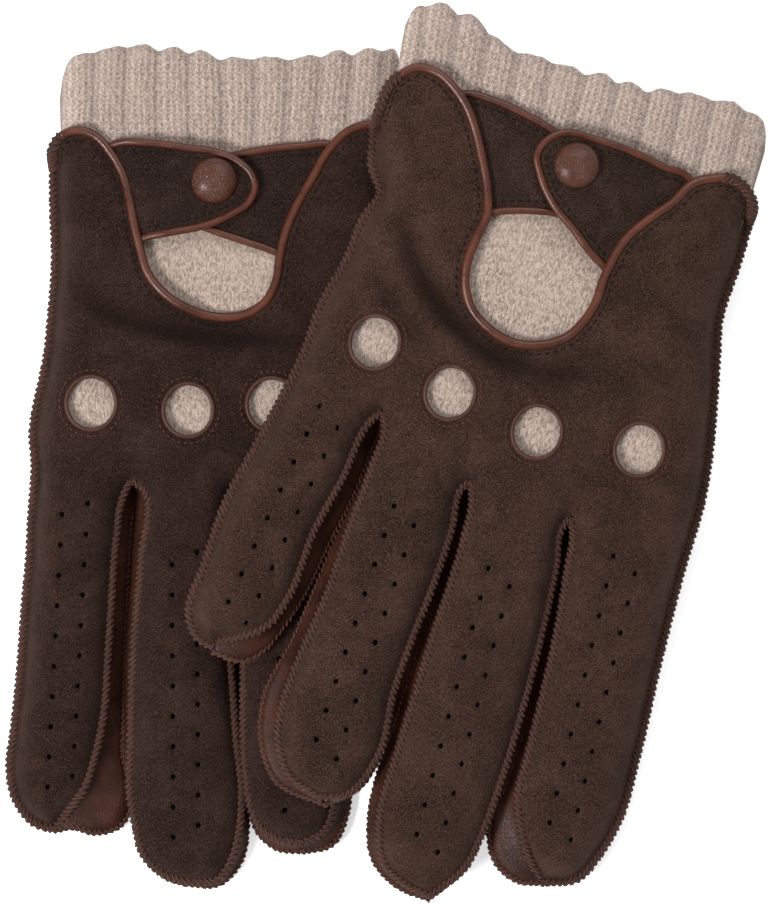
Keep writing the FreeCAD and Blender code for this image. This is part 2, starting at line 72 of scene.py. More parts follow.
THUMB_HALF, THUMB_TAPER, THUMB_CAP = 12.7, 1.2, 11.3
CAP_RADIUS, CAP_HEIGHT = 6.1, 3.32
CAP_PROFILE = ((1.0, -0.35), (1.03, 0.1), (1.0, 0.75), (0.92, 1.45), (0.80, 2.05), (0.64, 2.55), (0.48, 2.9),
               (0.3, 3.15), (0.14, 3.29))  # share of the cap's radius, height over the tab

# Each glove's outlines are (u, v) points. Its runs go from fingertip to fingertip. "underside" holds
# heights at STATIONS for each of COLUMNS, "bound" is the v where the wrist's binding starts and the u
# where it ends, and a crease is its line, its depth and the strength of the shade painted along it.

RIGHT = {
    "mirror": 1,
    "turn": math.radians(-13.4),
    "origin": (48.9, -18.9),
    "underside": (
        (16.2, 18.0, 20.8, 22.6, 23.0, 21.4, 19.8, 17.6),
        (15.2, 16.4, 17.8, 18.2, 18.2, 17.8, 17.0, 15.4),
        (0.2, 0.2, 2.2, 4.8, 6.3, 6.3, 5.0, 3.0),
    ),
    "fingers": {
        "index": ((17.3, 4), (17.6, -83.2)),
        "middle": ((-14.4, 4), (-17.0, -94.2)),
        "ring": ((-42.0, 12), (-49.6, -75.4)),
        "little": ((-68.0, 20), (-81.4, -45.0)),
    },
    "knuckles": ((14.0, 22.8), (-14.2, 21.0), (-39.5, 25.8), (-62.3, 34.3)),
    "index_side": (
        (29.3, 90), (28.5, 76.2), (27.5, 67.6), (27.4, 62), (28.8, 54), (31.1, 40.7), (32.8, 30),
        (34.2, 13.7), (33.3, -5.9), (33, -33.8), (33.4, -58.7), (32.5, -78.3), (29.5, -88), (25.5, -95.2),
        (16.5, -98.2),
    ),
    "back_runs": (
        ((16.5, -98.2), (12.7, -94.1), (8.2, -86.9), (4.4, -76.7), (4.5, -65.5), (4.7, -48.8),
         (4.3, -29.5), (3.1, -13.1), (1.8, -2), (0, 1), (-1.5, -1.8), (-.8, -14.1), (-.4, -33.4),
         (-.6, -50.1), (-2.2, -78.2), (-3.6, -89.7), (-5.7, -98.5), (-13.1, -108)),
        ((-13.1, -108), (-19, -106.7), (-27, -102.2), (-30.5, -93.3), (-30.3, -71), (-29.4, -57),
         (-28.6, -42.9), (-27.1, -25.9), (-26.3, -11.8), (-27.4, 1.8), (-28.8, 4.2), (-30.3, 2.5),
         (-30.9, -10.1), (-32.4, -27.1), (-34.5, -41.5), (-35.9, -55.7), (-36.2, -75.2), (-41.9, -86.3),
         (-48.3, -88.4)),
        ((-48.3, -88.4), (-57.6, -84.5), (-62.7, -76), (-63.6, -65.1), (-62.2, -53.7), (-58.7, -33.4),
         (-57.2, -16.4), (-55.1, .7), (-54.8, 14.7), (-56.4, 17), (-57.8, 15.4), (-62.9, -3.9),
         (-66.9, -18.7), (-69.8, -38.8), (-73, -46.2), (-78, -50.4), (-85.5, -54)),
    ),
    "palm_runs": (
        ((16.5, -98.6), (9.7, -99.4), (3.5, -96.6), (-1.0, -88), (.6, -77), (1.7, -62), (2.3, -45),
         (2, -29.5), (1.2, -13), (.6, -3), (.2, -1.5), (-.2, -3), (.9, -14), (1.6, -33), (1.6, -50),
         (.4, -68), (-.8, -78), (-3, -86), (-5.5, -99), (-13.1, -109.5)),
        ((-13.1, -109.5), (-21.8, -108), (-29.9, -102.5), (-33.8, -91.3), (-34.2, -80.3), (-33.2, -68.5),
         (-32.4, -57), (-31.3, -42.9), (-29.5, -25.9), (-28.4, -11.8), (-28.7, -1.5), (-28.9, 0),
         (-29.1, -1.5), (-28.9, -11.8), (-30.1, -26), (-31.9, -42), (-33.1, -57), (-35, -72), (-38.5, -84),
         (-46.3, -90.5)),
        ((-46.3, -90.5), (-61.2, -87), (-66.5, -79.7), (-69.3, -66.5), (-65.3, -50), (-62.8, -36),
         (-60.2, -20.5), (-57.6, -8), (-56, 8), (-56.4, 12), (-56.9, 8), (-59.2, -8.5), (-62, -20.3),
         (-65.9, -37.9), (-69.3, -47), (-72.6, -53.5), (-77, -57.4), (-85.5, -57)),
    ),
    "little_side": (
        (-86, -55.5), (-90.5, -54), (-93.5, -50), (-92.8, -33.2), (-91.1, -16.1), (-87.1, -1.3),
        (-83.2, 13.5), (-80.1, 27.5), (-78.6, 41), (-74.8, 54.3), (-72.7, 67.3), (-70.1, 74.1),
        (-74, 80.9), (-75.6, 90),
    ),
    "wrist": (
        (-76, 92.9), (-73.9, 104), (-68.2, 109.2), (-62, 108.7), (-57.1, 105.7), (-53.5, 102.4),
        (-49.4, 96.5), (-45.6, 89), (-42.4, 81.5), (-40.9, 74.9), (-42, 69.1), (-43.1, 61.9),
        (-42.3, 55.2), (-38.9, 49), (-32.9, 44.9), (-25.5, 43), (-18.8, 44.1), (-12.7, 47.5), (-8.6, 53.5),
        (-6.7, 59.5), (-6.3, 65.1), (-5.4, 69.5), (-3.1, 77), (2.1, 84.3), (7.6, 90.6), (11.2, 96.2),
        (16.6, 99.2), (21.4, 100.3), (26.6, 97.9), (29.1, 94.4), (29.3, 90),
    ),
    "over_tab": (
        (13.5, 95.5), (8, 98.6), (4.2, 98.7), (-4.5, 100.4), (-15.8, 101.5), (-26.8, 100.8), (-30.2, 97.7),
        (-31.5, 93.8), (-29.5, 88.7), (-24.2, 81.7), (-16.7, 76), (-11.5, 71.6), (-7.3, 69), (-3.5, 66.6),
    ),
    "under_tab": (
        (-44, 73.6), (-40.2, 75.6), (-24.5, 79.6), (-14, 80.5), (-10.2, 88), (-15, 95.5), (-26.7, 100.5),
        (-35.7, 103.3), (-44.5, 105.1), (-55.5, 104.7), (-58, 102.5),
    ),
    "over_hinge": ((7.8, 99.5), (-10.2, 69.5)),
    "under_hinge": ((-37.4, 76.5), (-50.0, 104.0)),
    "snap": (-20.6, 93.4),
    "cuff_top": (
        (-74.7, 113.5), (-74.5, 118.5), (-73.6, 122.6), (-71.6, 125.6), (-66.5, 127.7), (-60.8, 127.1),
        (-54.8, 125.2), (-48.4, 121.7), (-42.5, 120.3), (-25.7, 119.3), (-3.4, 119.1), (7.4, 120.5),
        (17.1, 120.6), (24.0, 119.2), (27.4, 117.2), (28.8, 114.0), (29.3, 109.5),
    ),
    "cuff_sides": ((-69.0, -74.4), (25.6, 29.2)),
    "palm_end": 98.0,
    "bound": (105.5, 20.5),
    "creases": (
        (((-66, 72), (-61, 61), (-52, 50), (-41, 41.5), (-29, 36.5), (-14, 36), (2, 38.5)), 3.0, 1.0),
        (((-72, 58), (-63, 47), (-52, 38), (-44, 34)), 1.2, 0.45),
        (((6, 48), (16, 41), (26, 39)), 0.9, 0.25),
    ),
    "seed": 11,
}
LEFT = {
    "mirror": -1,
    "turn": 0.0,
    "origin": (-70.7, -10.0),
    "underside": (
        (0.2, 0.2, 0.1, 0.0, 0.0, 0.0, 0.0, 0.0),
        (0.2, 0.2, 1.8, 3.8, 4.8, 4.6, 3.4, 1.3),
        (0.2, 0.2, 4.0, 8.5, 11.4, 11.4, 8.0, 3.0),
    ),
    "fingers": {
        "index": ((13.8, 4), (19.0, -80.6)),
        "middle": ((-15.2, 4), (-15.2, -94.2)),
        "ring": ((-42.2, 8), (-45.6, -86.6)),
        "little": ((-68.6, 18), (-72.2, -52.0)),
    },
    "knuckles": ((10.0, 22.7), (-16.2, 20.8), (-38.8, 22.4), (-61.5, 31.0)),
    "index_side": (
        (20.9, 86.9), (20.8, 77.5), (20.2, 61.3), (21.3, 45.1), (22.1, 37), (23.5, 29.4), (25.4, 20.8),
        (26.2, 14), (25.7, 7.3), (26.7, -8.9), (27.3, -19.7), (28.4, -30.5), (30.2, -52.1), (32.1, -68.3),
        (33.2, -76.4), (31.6, -85.9), (26.2, -92.6), (21.3, -94),
    ),
    "back_runs": (
        ((21.3, -94), (17.5, -89), (12.7, -81.8), (10.5, -75.1), (7.8, -62.9), (6.5, -46.7), (5.4, -30.5),
         (4.1, -14.3), (1.9, -2.2), (-.6, 1.8), (-3, .5), (-3.5, -19.7), (-1.9, -35.9), (-.8, -52.1),
         (-.3, -68.3), (0, -84.5), (-1.4, -92.6), (-3.5, -100.7), (-8.9, -106.1), (-14, -108)),
        ((-14, -108), (-18.4, -108.3), (-23.8, -107.5), (-27.3, -102.1), (-29.2, -95.3), (-30, -84.5),
         (-28.4, -68.3), (-27.3, -52.1), (-26.5, -41.3), (-26.3, -25), (-26.8, -8), (-28.3, 0), (-30, -3),
         (-31, -20), (-31.3, -48.1), (-31.1, -62.9), (-31.6, -79.1), (-32.7, -86.5), (-35.4, -93),
         (-40, -96.2), (-46.7, -97.5)),
        ((-46.7, -97.5), (-52.5, -94.5), (-55.5, -86), (-56.3, -75), (-56.8, -60), (-56.5, -35),
         (-55.8, -12), (-55, 8), (-56, 13.4), (-57.4, 9), (-59.5, -12), (-60.5, -35), (-61, -52),
         (-64.5, -60), (-71, -63)),
    ),
    "palm_runs": (
        ((21.3, -94.6), (16.7, -93.6), (10, -95.3), (3.2, -93.2), (.8, -89.5), (3, -74), (2.6, -62.9),
         (2.3, -46), (1.4, -30), (.6, -14), (-.3, -3), (-.6, -1.5), (-.9, -3), (-.2, -14), (.6, -30),
         (1.6, -46), (1.9, -62), (1.6, -76), (-.6, -92), (-3.8, -101.5), (-9.5, -107.5), (-15, -109.3)),
        ((-15, -109.3), (-23.8, -109.3), (-29.5, -103.5), (-31.6, -93), (-31.2, -84), (-29.8, -68),
         (-29.1, -50), (-28.6, -30), (-28.2, -10), (-28.2, -3.5), (-28.4, -2.8), (-28.7, -3.5),
         (-28.9, -10), (-29.3, -30), (-29.7, -50), (-30.4, -68), (-32.5, -85), (-35, -95.5), (-40, -99.6),
         (-47, -100.4)),
        ((-47, -100.4), (-54.8, -98.5), (-59, -90), (-60, -80), (-59.3, -60), (-58.6, -35), (-57.5, -12),
         (-56.3, 5), (-56.2, 6.5), (-56.6, 5), (-57.9, -12), (-59.2, -35), (-60.5, -53), (-64.5, -61.5),
         (-71, -64)),
    ),
    "little_side": (
        (-71, -63.5), (-79, -61), (-84, -52), (-84.6, -30), (-83.4, -8), (-82.2, 13), (-81, 30),
        (-78.5, 45), (-75.5, 58), (-72.8, 72), (-74.5, 82),
    ),
    "wrist": (
        (-75.6, 86), (-73, 94.5), (-65.6, 98.6), (-60.2, 97.2), (-54.8, 92.3), (-50, 84.2), (-45.4, 76.1),
        (-42.7, 69.4), (-41, 62.6), (-40, 55.9), (-37.3, 50.5), (-31.9, 47), (-23.8, 46.2), (-15.7, 48.6),
        (-8.9, 53.2), (-4.9, 58.6), (-3, 65.3), (-1.6, 70.7), (-.3, 77.5), (1.9, 85.6), (5.1, 91),
        (8.6, 95), (13.2, 96.9), (18.1, 95.6), (20.8, 91.5), (20.9, 86.9),
    ),
    "over_tab": (
        (9, 89.5), (4.6, 92.9), (-6.2, 93.4), (-15.7, 92.2), (-23.8, 91), (-29.2, 88.8), (-33.2, 85.1),
        (-34.3, 81.5), (-32.7, 77.5), (-27.8, 74), (-19.7, 70.7), (-11.6, 69.1), (-3.5, 67.2), (0, 64.8),
    ),
    "under_tab": (
        (-44, 61.8), (-40.8, 63.5), (-31.9, 66.7), (-23.8, 69.4), (-13.5, 74.5), (-10.8, 81), (-17, 87.4),
        (-28.4, 90.2), (-38.6, 92.1), (-46.7, 92.9), (-55.6, 92.9), (-58, 90.5),
    ),
    "over_hinge": ((2.7, 93.6), (-6.3, 66.4)),
    "under_hinge": ((-37.5, 64.2), (-51.3, 94.0)),
    "snap": (-23.2, 83.2),
    "cuff_top": (
        (-73.9, 111.0), (-73.7, 115.5), (-72.6, 118.6), (-70.0, 119.8), (-65.6, 119.6), (-46.7, 117.5),
        (-25.1, 117.5), (-15.7, 119.1), (-6.2, 120.2), (4.6, 119.9), (13.5, 118.2), (17.2, 115.6),
        (18.9, 111.5), (19.4, 106.5),
    ),
    "cuff_sides": ((-69.8, -73.6), (17.8, 19.4)),
    "palm_end": 92.0,
    "bound": (95.0, 18.6),
    "creases": (
        (((-62, 41), (-46, 38.4), (-26.5, 39), (-8, 41.4), (4, 45), (12.6, 50.6), (18.5, 57)), 2.4, 0.9),
        (((-58, 12), (-40, 9), (-24, 11)), 0.7, 0.2),
    ),
    "seed": 23,
}


# Curves -------------------------------------------------------------------------------------------


def along(line):
    """Length along a line up to each of its points."""
    return np.concatenate([[0], np.cumsum(np.linalg.norm(np.diff(line, axis=0), axis=1))])


def resampled(line, count):
    """The same line with this many evenly spaced points."""
    run = along(line)
    at = np.linspace(0, run[-1], count)
    return np.stack([np.interp(at, run, line[:, k]) for k in range(line.shape[1])], axis=1)


def spaced(points, step, closed=False):
    """The same line with points every step along it."""
    p = np.asarray(points, float)
    if closed:
        p = np.vstack([p, p[:1]])
    line = resampled(p, max(3, int(round(along(p)[-1] / step))) + 1)
    return line[:-1] if closed else line


def smooth(points, step=1.0):
    """A smooth curve through the points, with points every step along it."""
    p = np.asarray(points, float)
    h = np.maximum(np.linalg.norm(np.diff(p, axis=0), axis=1), 1e-6)[:, None]
    slope = np.diff(p, axis=0) / h
    inner = (slope[:-1] * h[1:] + slope[1:] * h[:-1]) / (h[1:] + h[:-1])
    tangent = np.vstack([slope[:1], inner, slope[-1:]])
    t = np.linspace(0, 1, 12, endpoint=False)[:, None]
    start, end = 2 * t**3 - 3 * t**2 + 1, 3 * t**2 - 2 * t**3
    leaving, arriving = t**3 - 2 * t**2 + t, t**3 - t**2
    fine = [
        start * p[i] + leaving * (tangent[i] * h[i]) + end * p[i + 1] + arriving * (tangent[i + 1] * h[i])
        for i in range(len(p) - 1)
    ]
    return spaced(np.vstack(fine + [p[-1:]]), step)


def headings(line, closed=False):
    """The direction of a line at each of its points."""
    ahead = np.roll(line, -1, 0) - np.roll(line, 1, 0)
    if not closed:
        ahead[0], ahead[-1] = line[1] - line[0], line[-1] - line[-2]
    return ahead / np.maximum(np.linalg.norm(ahead, axis=1), 1e-9)[:, None]


def sideways(tangent):
    """Level and upright directions across a line that runs along the tangents."""
    side = np.cross(tangent, [0, 0, 1.0])
    side /= np.maximum(np.linalg.norm(side, axis=1), 1e-9)[:, None]
    return side, np.cross(side, tangent)


def halves(line):
    """A run from finger to finger cut in two at its crotch."""
    top = int(line[:, 1].argmax())
    return line[: top + 1], line[top:]


def nearest(points, line, closed=False):
    """Distance from each point to a flat line, and the index of the nearest stretch of it."""
    a = line[:, :2]
    b = np.roll(a, -1, 0) if closed else a[1:]
    a = a if closed else a[:-1]
    run = b - a
    square = np.maximum((run**2).sum(1), 1e-12)
    best, where = np.zeros(len(points)), np.zeros(len(points), int)
    for i in range(0, len(points), 1500):
        p = points[i : i + 1500, None, :2]
        t = np.clip(((p - a) * run).sum(2) / square, 0, 1)
        gap = np.linalg.norm(p - a - t[..., None] * run, axis=2)
        where[i : i + 1500] = gap.argmin(1)
        best[i : i + 1500] = gap.min(1)
    return best, where


def inside(points, loop):
    x, y = points[:, 0], points[:, 1]
    result = np.zeros(len(points), bool)
    for (ax, ay), (bx, by) in zip(loop[:, :2], np.roll(loop[:, :2], -1, 0)):
        if ay == by:
            continue
        crosses = (ay > y) != (by > y)
        result ^= crosses & (x < (bx - ax) * (y - ay) / (by - ay) + ax)
    return result


def inset_loop(loop, distance):
    """The closed line drawn in by the distance."""
    heading = headings(loop, closed=True)
    normal = np.stack([-heading[:, 1], heading[:, 0]], axis=1)
    area = (loop[:, 0] * np.roll(loop[:, 1], -1) - loop[:, 1] * np.roll(loop[:, 0], -1)).sum()
    moved = loop + normal * math.copysign(distance, area)
    kept = moved[nearest(moved, loop, closed=True)[0] > distance * 0.985]
    return spaced(kept, 1.2, closed=True)


def thin(points, spacing):
    """Drops points that are closer to an earlier one than the spacing."""
    grid, kept = {}, []
    for k, (x, y) in enumerate(points):
        cx, cy = int(x // spacing), int(y // spacing)
        near = [q for i in (-1, 0, 1) for j in (-1, 0, 1) for q in grid.get((cx + i, cy + j), ())]
        if all((x - qx) ** 2 + (y - qy) ** 2 >= spacing * spacing for qx, qy in near):
            grid.setdefault((cx, cy), []).append((x, y))
            kept.append(k)
    return points[kept]


def oval(centre, across, long, count):
    a = np.linspace(0, 2 * math.pi, count, endpoint=False)
    return np.stack([centre[0] + across * np.cos(a), centre[1] + long * np.sin(a)], axis=1)


def knuckle_ring(centre, gap, count):
    """An oval round a knuckle hole, at this distance from the hole's edge."""
    across, long = KNUCKLE_RADII
    return oval(centre, across + gap, long + gap, count)


def step_up(x, low, high):
    """A smooth climb from 0 to 1 between low and high."""
    t = np.clip((x - low) / (high - low), 0, 1)
    return t * t * (3 - 2 * t)


# Meshes -------------------------------------------------------------------------------------------


def triangulated(loop, holes, rings, grid, hole_rings=()):
    """Flat triangles inside a loop, with holes, rings of points along its edge and a grid further in."""
    low, high = loop.min(0), loop.max(0)
    inner = []
    for k, y in enumerate(np.arange(low[1], high[1], grid * 0.866)):
        x = np.arange(low[0] + (k % 2) * grid / 2, high[0], grid)
        inner.append(np.column_stack([x, np.full_like(x, y)]))
    inner = np.vstack(inner)
    inner = inner[inside(inner, loop)]
    inner = inner[nearest(inner, loop, closed=True)[0] > rings[-1] + grid * 0.4]
    free = thin(np.vstack([*hole_rings, *(inset_loop(loop, distance) for distance in rings), inner]), 0.3)
    free = free[inside(free, loop)]
    free = free[nearest(free, loop, closed=True)[0] > 0.2]
    for hole in holes:
        size = np.linalg.norm(hole - hole.mean(0), axis=1).max()
        close = np.linalg.norm(free - hole.mean(0), axis=1) < size + 1.0
        free = free[~(close & (inside(free, hole) | (nearest(free, hole, closed=True)[0] < 0.22)))]
    edges, start = [], 0
    for outline in (loop, *holes):
        edges += [(start + i, start + (i + 1) % len(outline)) for i in range(len(outline))]
        start += len(outline)
    points = np.vstack([loop, *holes, free])
    found = geometry.delaunay_2d_cdt([Vector(p) for p in points], edges, [], 0, 1e-5, False)
    verts = np.array([tuple(v) for v in found[0]], float)
    faces = np.array([tuple(f) for f in found[2]], int)
    middle = verts[faces].mean(1)
    keep = inside(middle, loop)
    for hole in holes:
        keep &= ~inside(middle, hole)
    faces = faces[keep]
    a, b, c = (verts[faces[:, k]] for k in range(3))
    turn = (b[:, 0] - a[:, 0]) * (c[:, 1] - a[:, 1]) - (b[:, 1] - a[:, 1]) * (c[:, 0] - a[:, 0])
    faces[turn < 0] = faces[turn < 0][:, ::-1]
    used = np.unique(faces)
    renumber = np.zeros(len(verts), int)
    renumber[used] = np.arange(len(used))
    return verts[used], renumber[faces]


def between(rows, count, closed=True):
    """The quads between rows of points, each row with this many points."""
    return [
        (r * count + k, r * count + (k + 1) % count, (r + 1) * count + (k + 1) % count, (r + 1) * count + k)
        for r in range(rows - 1) for k in range(count if closed else count - 1)
    ]


def fan(start, count, tip):
    """The triangles from a closed row of points to a tip."""
    return [(start + k, start + (k + 1) % count, tip) for k in range(count)]


def halved(quads):
    """Each quad as two triangles."""
    return np.array([half for a, b, c, d in quads for half in ((a, b, c), (a, c, d))])


def thickened(verts, faces, thickness):
    """A sheet with its lower face added beneath it, and its edges closed."""
    a, b, c = (verts[faces[:, k]] for k in range(3))
    normal = np.cross(b - a, c - a)
    total = np.zeros_like(verts)
    for k in range(3):
        np.add.at(total, faces[:, k], normal)
    total /= np.maximum(np.linalg.norm(total, axis=1), 1e-12)[:, None]
    count = len(verts)
    directed = {(f[i], f[(i + 1) % 3]) for f in faces.tolist() for i in range(3)}
    rim = [(b, a, a + count, b + count) for a, b in directed if (b, a) not in directed]
    under = faces[:, ::-1] + count
    return np.vstack([verts, verts - total * thickness]), faces.tolist() + under.tolist() + sorted(rim)


def tube(path, wide, high, sides, closed=False):
    """An oval tube along a path. wide and high are half sizes, one number or one for each point."""
    p = np.asarray(path, float)
    wide, high = (np.broadcast_to(size, len(p)).astype(float) for size in (wide, high))
    tangent = headings(p, closed)
    side, top = sideways(tangent)
    if not closed:
        p = np.vstack([p[:1] - tangent[:1] * high[0] * 0.5, p, p[-1:] + tangent[-1:] * high[-1] * 0.5])
        wide, high = (np.concatenate([m[:1] * TUBE_TIP, m, m[-1:] * TUBE_TIP]) for m in (wide, high))
        side, top = (np.vstack([m[:1], m, m[-1:]]) for m in (side, top))
    a = np.linspace(0, 2 * math.pi, sides, endpoint=False)
    ring = (
        p[:, None]
        + side[:, None] * (np.cos(a)[None, :, None] * wide[:, None, None])
        + top[:, None] * (np.sin(a)[None, :, None] * high[:, None, None])
    )
    count = len(p)
    if closed:
        return ring.reshape(-1, 3), (np.array(between(count + 1, sides)) % (count * sides)).tolist()
    caps = [tuple(range(sides))[::-1], tuple(range((count - 1) * sides, count * sides))]
    return ring.reshape(-1, 3), between(count, sides) + caps


def joined(parts):
    """Several meshes as one."""
    verts, faces, start = [], [], 0
    for v, f in parts:
        verts.append(v)
        faces += [tuple(i + start for i in face) for face in f]
        start += len(v)
    return np.vstack(verts), faces


def whipped(path, reach_side, reach_up, radius):
    """Thread wound round a seam, once for each stitch, slanting over the top and straight back beneath."""
    reach = [np.broadcast_to(size, len(path)) for size in (reach_side, reach_up)]
    fine = spaced(np.column_stack([path, *reach]), STITCH_PITCH / WHIP_STEPS)
    line, reach = fine[:, :3], fine[:, 3:]
    tangent = headings(line)
    side, top = sideways(tangent)
    count = np.arange(len(line)) / WHIP_STEPS
    share = (count + 0.10 * np.sin(count * 1.7) + 0.07 * np.sin(count * 3.9 + 1)) % 1.0
    over, back = share / WHIP_OVER, (share - WHIP_OVER) / (1 - WHIP_OVER)
    turn = np.where(share < WHIP_OVER, over * math.pi, math.pi + back * math.pi)
    swell = 1 + 0.07 * np.sin(count * 2.3 + 2)
    across, above = np.cos(turn) * reach[:, 0] * swell, np.sin(turn) * reach[:, 1]
    slant = np.cos(turn) * STITCH_PITCH * 0.5
    return tube(line + side * across[:, None] + top * above[:, None] - tangent * slant[:, None],
                radius, radius * 0.85, 5)


def pinched(path, wide, high, depth, sides):
    """A raised edge along a seam, drawn in between stitches."""
    sizes = [np.broadcast_to(size, len(path)) for size in (wide, high)]
    line = spaced(np.column_stack([path, *sizes]), STITCH_PITCH / 6)
    swell = depth[0] + depth[1] * np.cos(np.arange(len(line)) * 2 * math.pi / 6)
    return tube(line[:, :3], line[:, 3] * swell, line[:, 4] * swell, sides)


def stitches(path, length, gap, radius, closed=False):
    """A row of separate short stitches along a path, each dipping into the leather at its ends."""
    total = along(np.vstack([path, path[:1]]) if closed else path)[-1]
    count = max(1, int(total / (length + gap)))
    line = spaced(path, total / (count * 8), closed)
    arch = np.array([-1.0, -0.2, 0.15, 0.25, 0.15, -0.2, -1.0]) * radius
    slim = np.array([0.45, 0.9, 1, 1, 1, 0.9, 0.45]) * radius
    parts = []
    for i in range(0, len(line) - 6, 8):
        piece = line[i : i + 7]
        piece = piece[3] + (piece - piece[3]) * (length / (length + gap) * 8 / 7)
        piece[:, 2] += arch
        parts.append(tube(piece, slim, slim, 6))
    return joined(parts[:count])


def add_object(name, verts, faces, material, uv=None, flip=False):
    """A mesh object from points in metres."""
    faces = [tuple(f)[::-1] if flip else tuple(f) for f in faces]
    mesh = bpy.data.meshes.new(name)
    mesh.from_pydata([tuple(v) for v in verts], [], faces)
    mesh.polygons.foreach_set("use_smooth", [True] * len(mesh.polygons))
    if uv is not None:
        layer = mesh.uv_layers.new(name="UVMap")
        loops = np.zeros(len(mesh.loops), np.int32)
        mesh.loops.foreach_get("vertex_index", loops)
        layer.data.foreach_set("uv", np.asarray(uv, np.float32)[loops].ravel())
    mesh.materials.append(material)
    mesh.update()
    obj = bpy.data.objects.new(name, mesh)
    bpy.context.scene.collection.objects.link(obj)
    return obj


# Materials ----------------------------------------------------------------------------------------


class Shader:
    """A small helper that builds one node material."""

    def __init__(self, name):
        self.material = bpy.data.materials.new(name)
        self.material.use_nodes = True
        self.tree = self.material.node_tree
        self.surface = self.tree.nodes["Principled BSDF"]
        self.coords = self.tree.nodes.new("ShaderNodeTexCoord")

    def node(self, kind, inputs, **settings):
        made = self.tree.nodes.new(kind)
        for key, value in settings.items():
            setattr(made, key, value)
        for key, value in inputs.items():
            self.put(made.inputs[key], value)
        return made

    def put(self, socket, value):
        if isinstance(value, bpy.types.NodeSocket):
            self.tree.links.new(value, socket)
        else:
            socket.default_value = value

    def set(self, **values):
        for key, value in values.items():
            self.put(self.surface.inputs[key.replace("_", " ")], value)

    def noise(self, scale, detail=3.0, rough=0.55, vector=None, distortion=0.0):
        inputs = {"Scale": scale, "Detail": detail, "Roughness": rough, "Distortion": distortion}
        inputs["Vector"] = vector if vector is not None else self.coords.outputs["Object"]
        return self.node("ShaderNodeTexNoise", inputs).outputs["Fac"]

    def stretched(self, x, y, z, source=None):
        source = source or self.coords.outputs["Object"]
        return self.node("ShaderNodeMapping", {"Vector": source, "Scale": (x, y, z)}).outputs["Vector"]

    def level(self, value, low, high, out_low=0.0, out_high=1.0):
        inputs = {"Value": value, "From Min": low, "From Max": high, "To Min": out_low, "To Max": out_high}
        return self.node("ShaderNodeMapRange", inputs).outputs["Result"]

    def calc(self, operation, a, b=None):
        inputs = {0: a} if b is None else {0: a, 1: b}
        return self.node("ShaderNodeMath", inputs, operation=operation).outputs["Value"]

    def plus(self, a, b):
        return self.calc("ADD", a, b)

    def times(self, a, b):
        return self.calc("MULTIPLY", a, b)

    def grey(self, value):
        inputs = dict.fromkeys(("Red", "Green", "Blue"), value)
        return self.node("ShaderNodeCombineColor", inputs).outputs["Color"]

    def over(self, base, colour, value, *limits):
        """The base with a colour over it, more of it as the value climbs between its limits."""
        return self.mix(self.level(value, *limits), base, colour)

    def mix(self, share, a, b, blend="MIX"):
        made = self.node("ShaderNodeMix", {}, data_type="RGBA", blend_type=blend)
        self.put(made.inputs["Factor"], share)
        for index, colour in ((6, a), (7, b)):
            self.put(made.inputs[index], colour if isinstance(colour, bpy.types.NodeSocket) else (*colour, 1))
        return made.outputs[2]

    def bump(self, height, distance, strength=1.0, normal=None):
        inputs = {"Height": height, "Distance": distance, "Strength": strength}
        if normal is not None:
            inputs["Normal"] = normal
        return self.node("ShaderNodeBump", inputs).outputs["Normal"]


def dimmed(colour, share):
    """The colour at this share of its brightness."""
    return tuple(min(1, c * share) for c in colour)


def suede(name, colour, lighter, darker):
    """Napped leather: a fine grain of raised fibres, brushed lighter and darker in patches.

    The UV map's X is painted shade: the colour is darkened along each crease, most on the fold's steep side.
    """
    s = Shader(name)
    nap = s.noise(2900, 4.0, 0.8)
    fibres = s.noise(1700, 3.0, 0.6, s.stretched(1.0, 0.35, 1.0))
    brushed = s.noise(85, 4.0, 0.62, distortion=0.8)
    crease = s.node("ShaderNodeSeparateXYZ", {"Vector": s.coords.outputs["UV"]}).outputs["X"]
    base = s.over(darker, colour, s.noise(22, 2.0, 0.5), 0.35, 0.65, 0.25, 1.0)
    base = s.over(base, lighter, brushed, 0.48, 0.68, 0.0, 0.65)
    base = s.over(base, dimmed(darker, 0.8), brushed, 0.50, 0.32, 0.0, 0.6)
    base = s.over(base, dimmed(lighter, 1.9), nap, 0.51, 0.66, 0.0, 0.95)
    base = s.over(base, dimmed(darker, 0.25), nap, 0.50, 0.36, 0.0, 0.95)
    base = s.over(base, lighter, fibres, 0.58, 0.75, 0.0, 0.3)
    # painted shade: the colour darkens along the creases, by the UV map's X
    base = s.over(base, dimmed(darker, 0.3), crease, 0.05, 1.0, 0.0, 0.68)
    grain = s.bump(s.plus(nap, s.times(fibres, 0.3)), 0.00055, 0.8)
    s.set(Base_Color=base, Roughness=0.95, Specular_IOR_Level=0.05, Sheen_Weight=0.05, Sheen_Roughness=0.4,
          Sheen_Tint=(0.55, 0.38, 0.30, 1), Normal=s.bump(brushed, 0.0007, 0.3, grain))
    return s.material


def leather(name, colour, darker, rough, grain_scale, grain_depth, wear=0.35, shine=0.3):
    """Smooth leather with a pebbled grain, rubbed lighter in patches."""
    s = Shader(name)
    cells = s.node("ShaderNodeTexVoronoi", {"Vector": s.coords.outputs["Object"], "Scale": grain_scale},
                   feature="DISTANCE_TO_EDGE").outputs["Distance"]
    pores = s.level(cells, 0.0, 0.14)
    soft = s.noise(grain_scale * 0.11, 4.0, 0.6, distortion=0.5)
    base = s.over(darker, colour, soft, 0.35, 0.7)
    base = s.over(base, dimmed(colour, 1.55), s.noise(60, 3.0, 0.6), 0.45, 0.75, 0.0, wear)
    base = s.over(base, dimmed(darker, 0.4), pores, 0.0, 1.0, 0.28, 0.0)
    height = s.plus(pores, s.times(soft, 1.6))
    s.set(Base_Color=base, Roughness=s.level(soft, 0.3, 0.7, rough - 0.07, rough + 0.1),
          Specular_IOR_Level=shine, Normal=s.bump(height, grain_depth, 0.6))
    return s.material


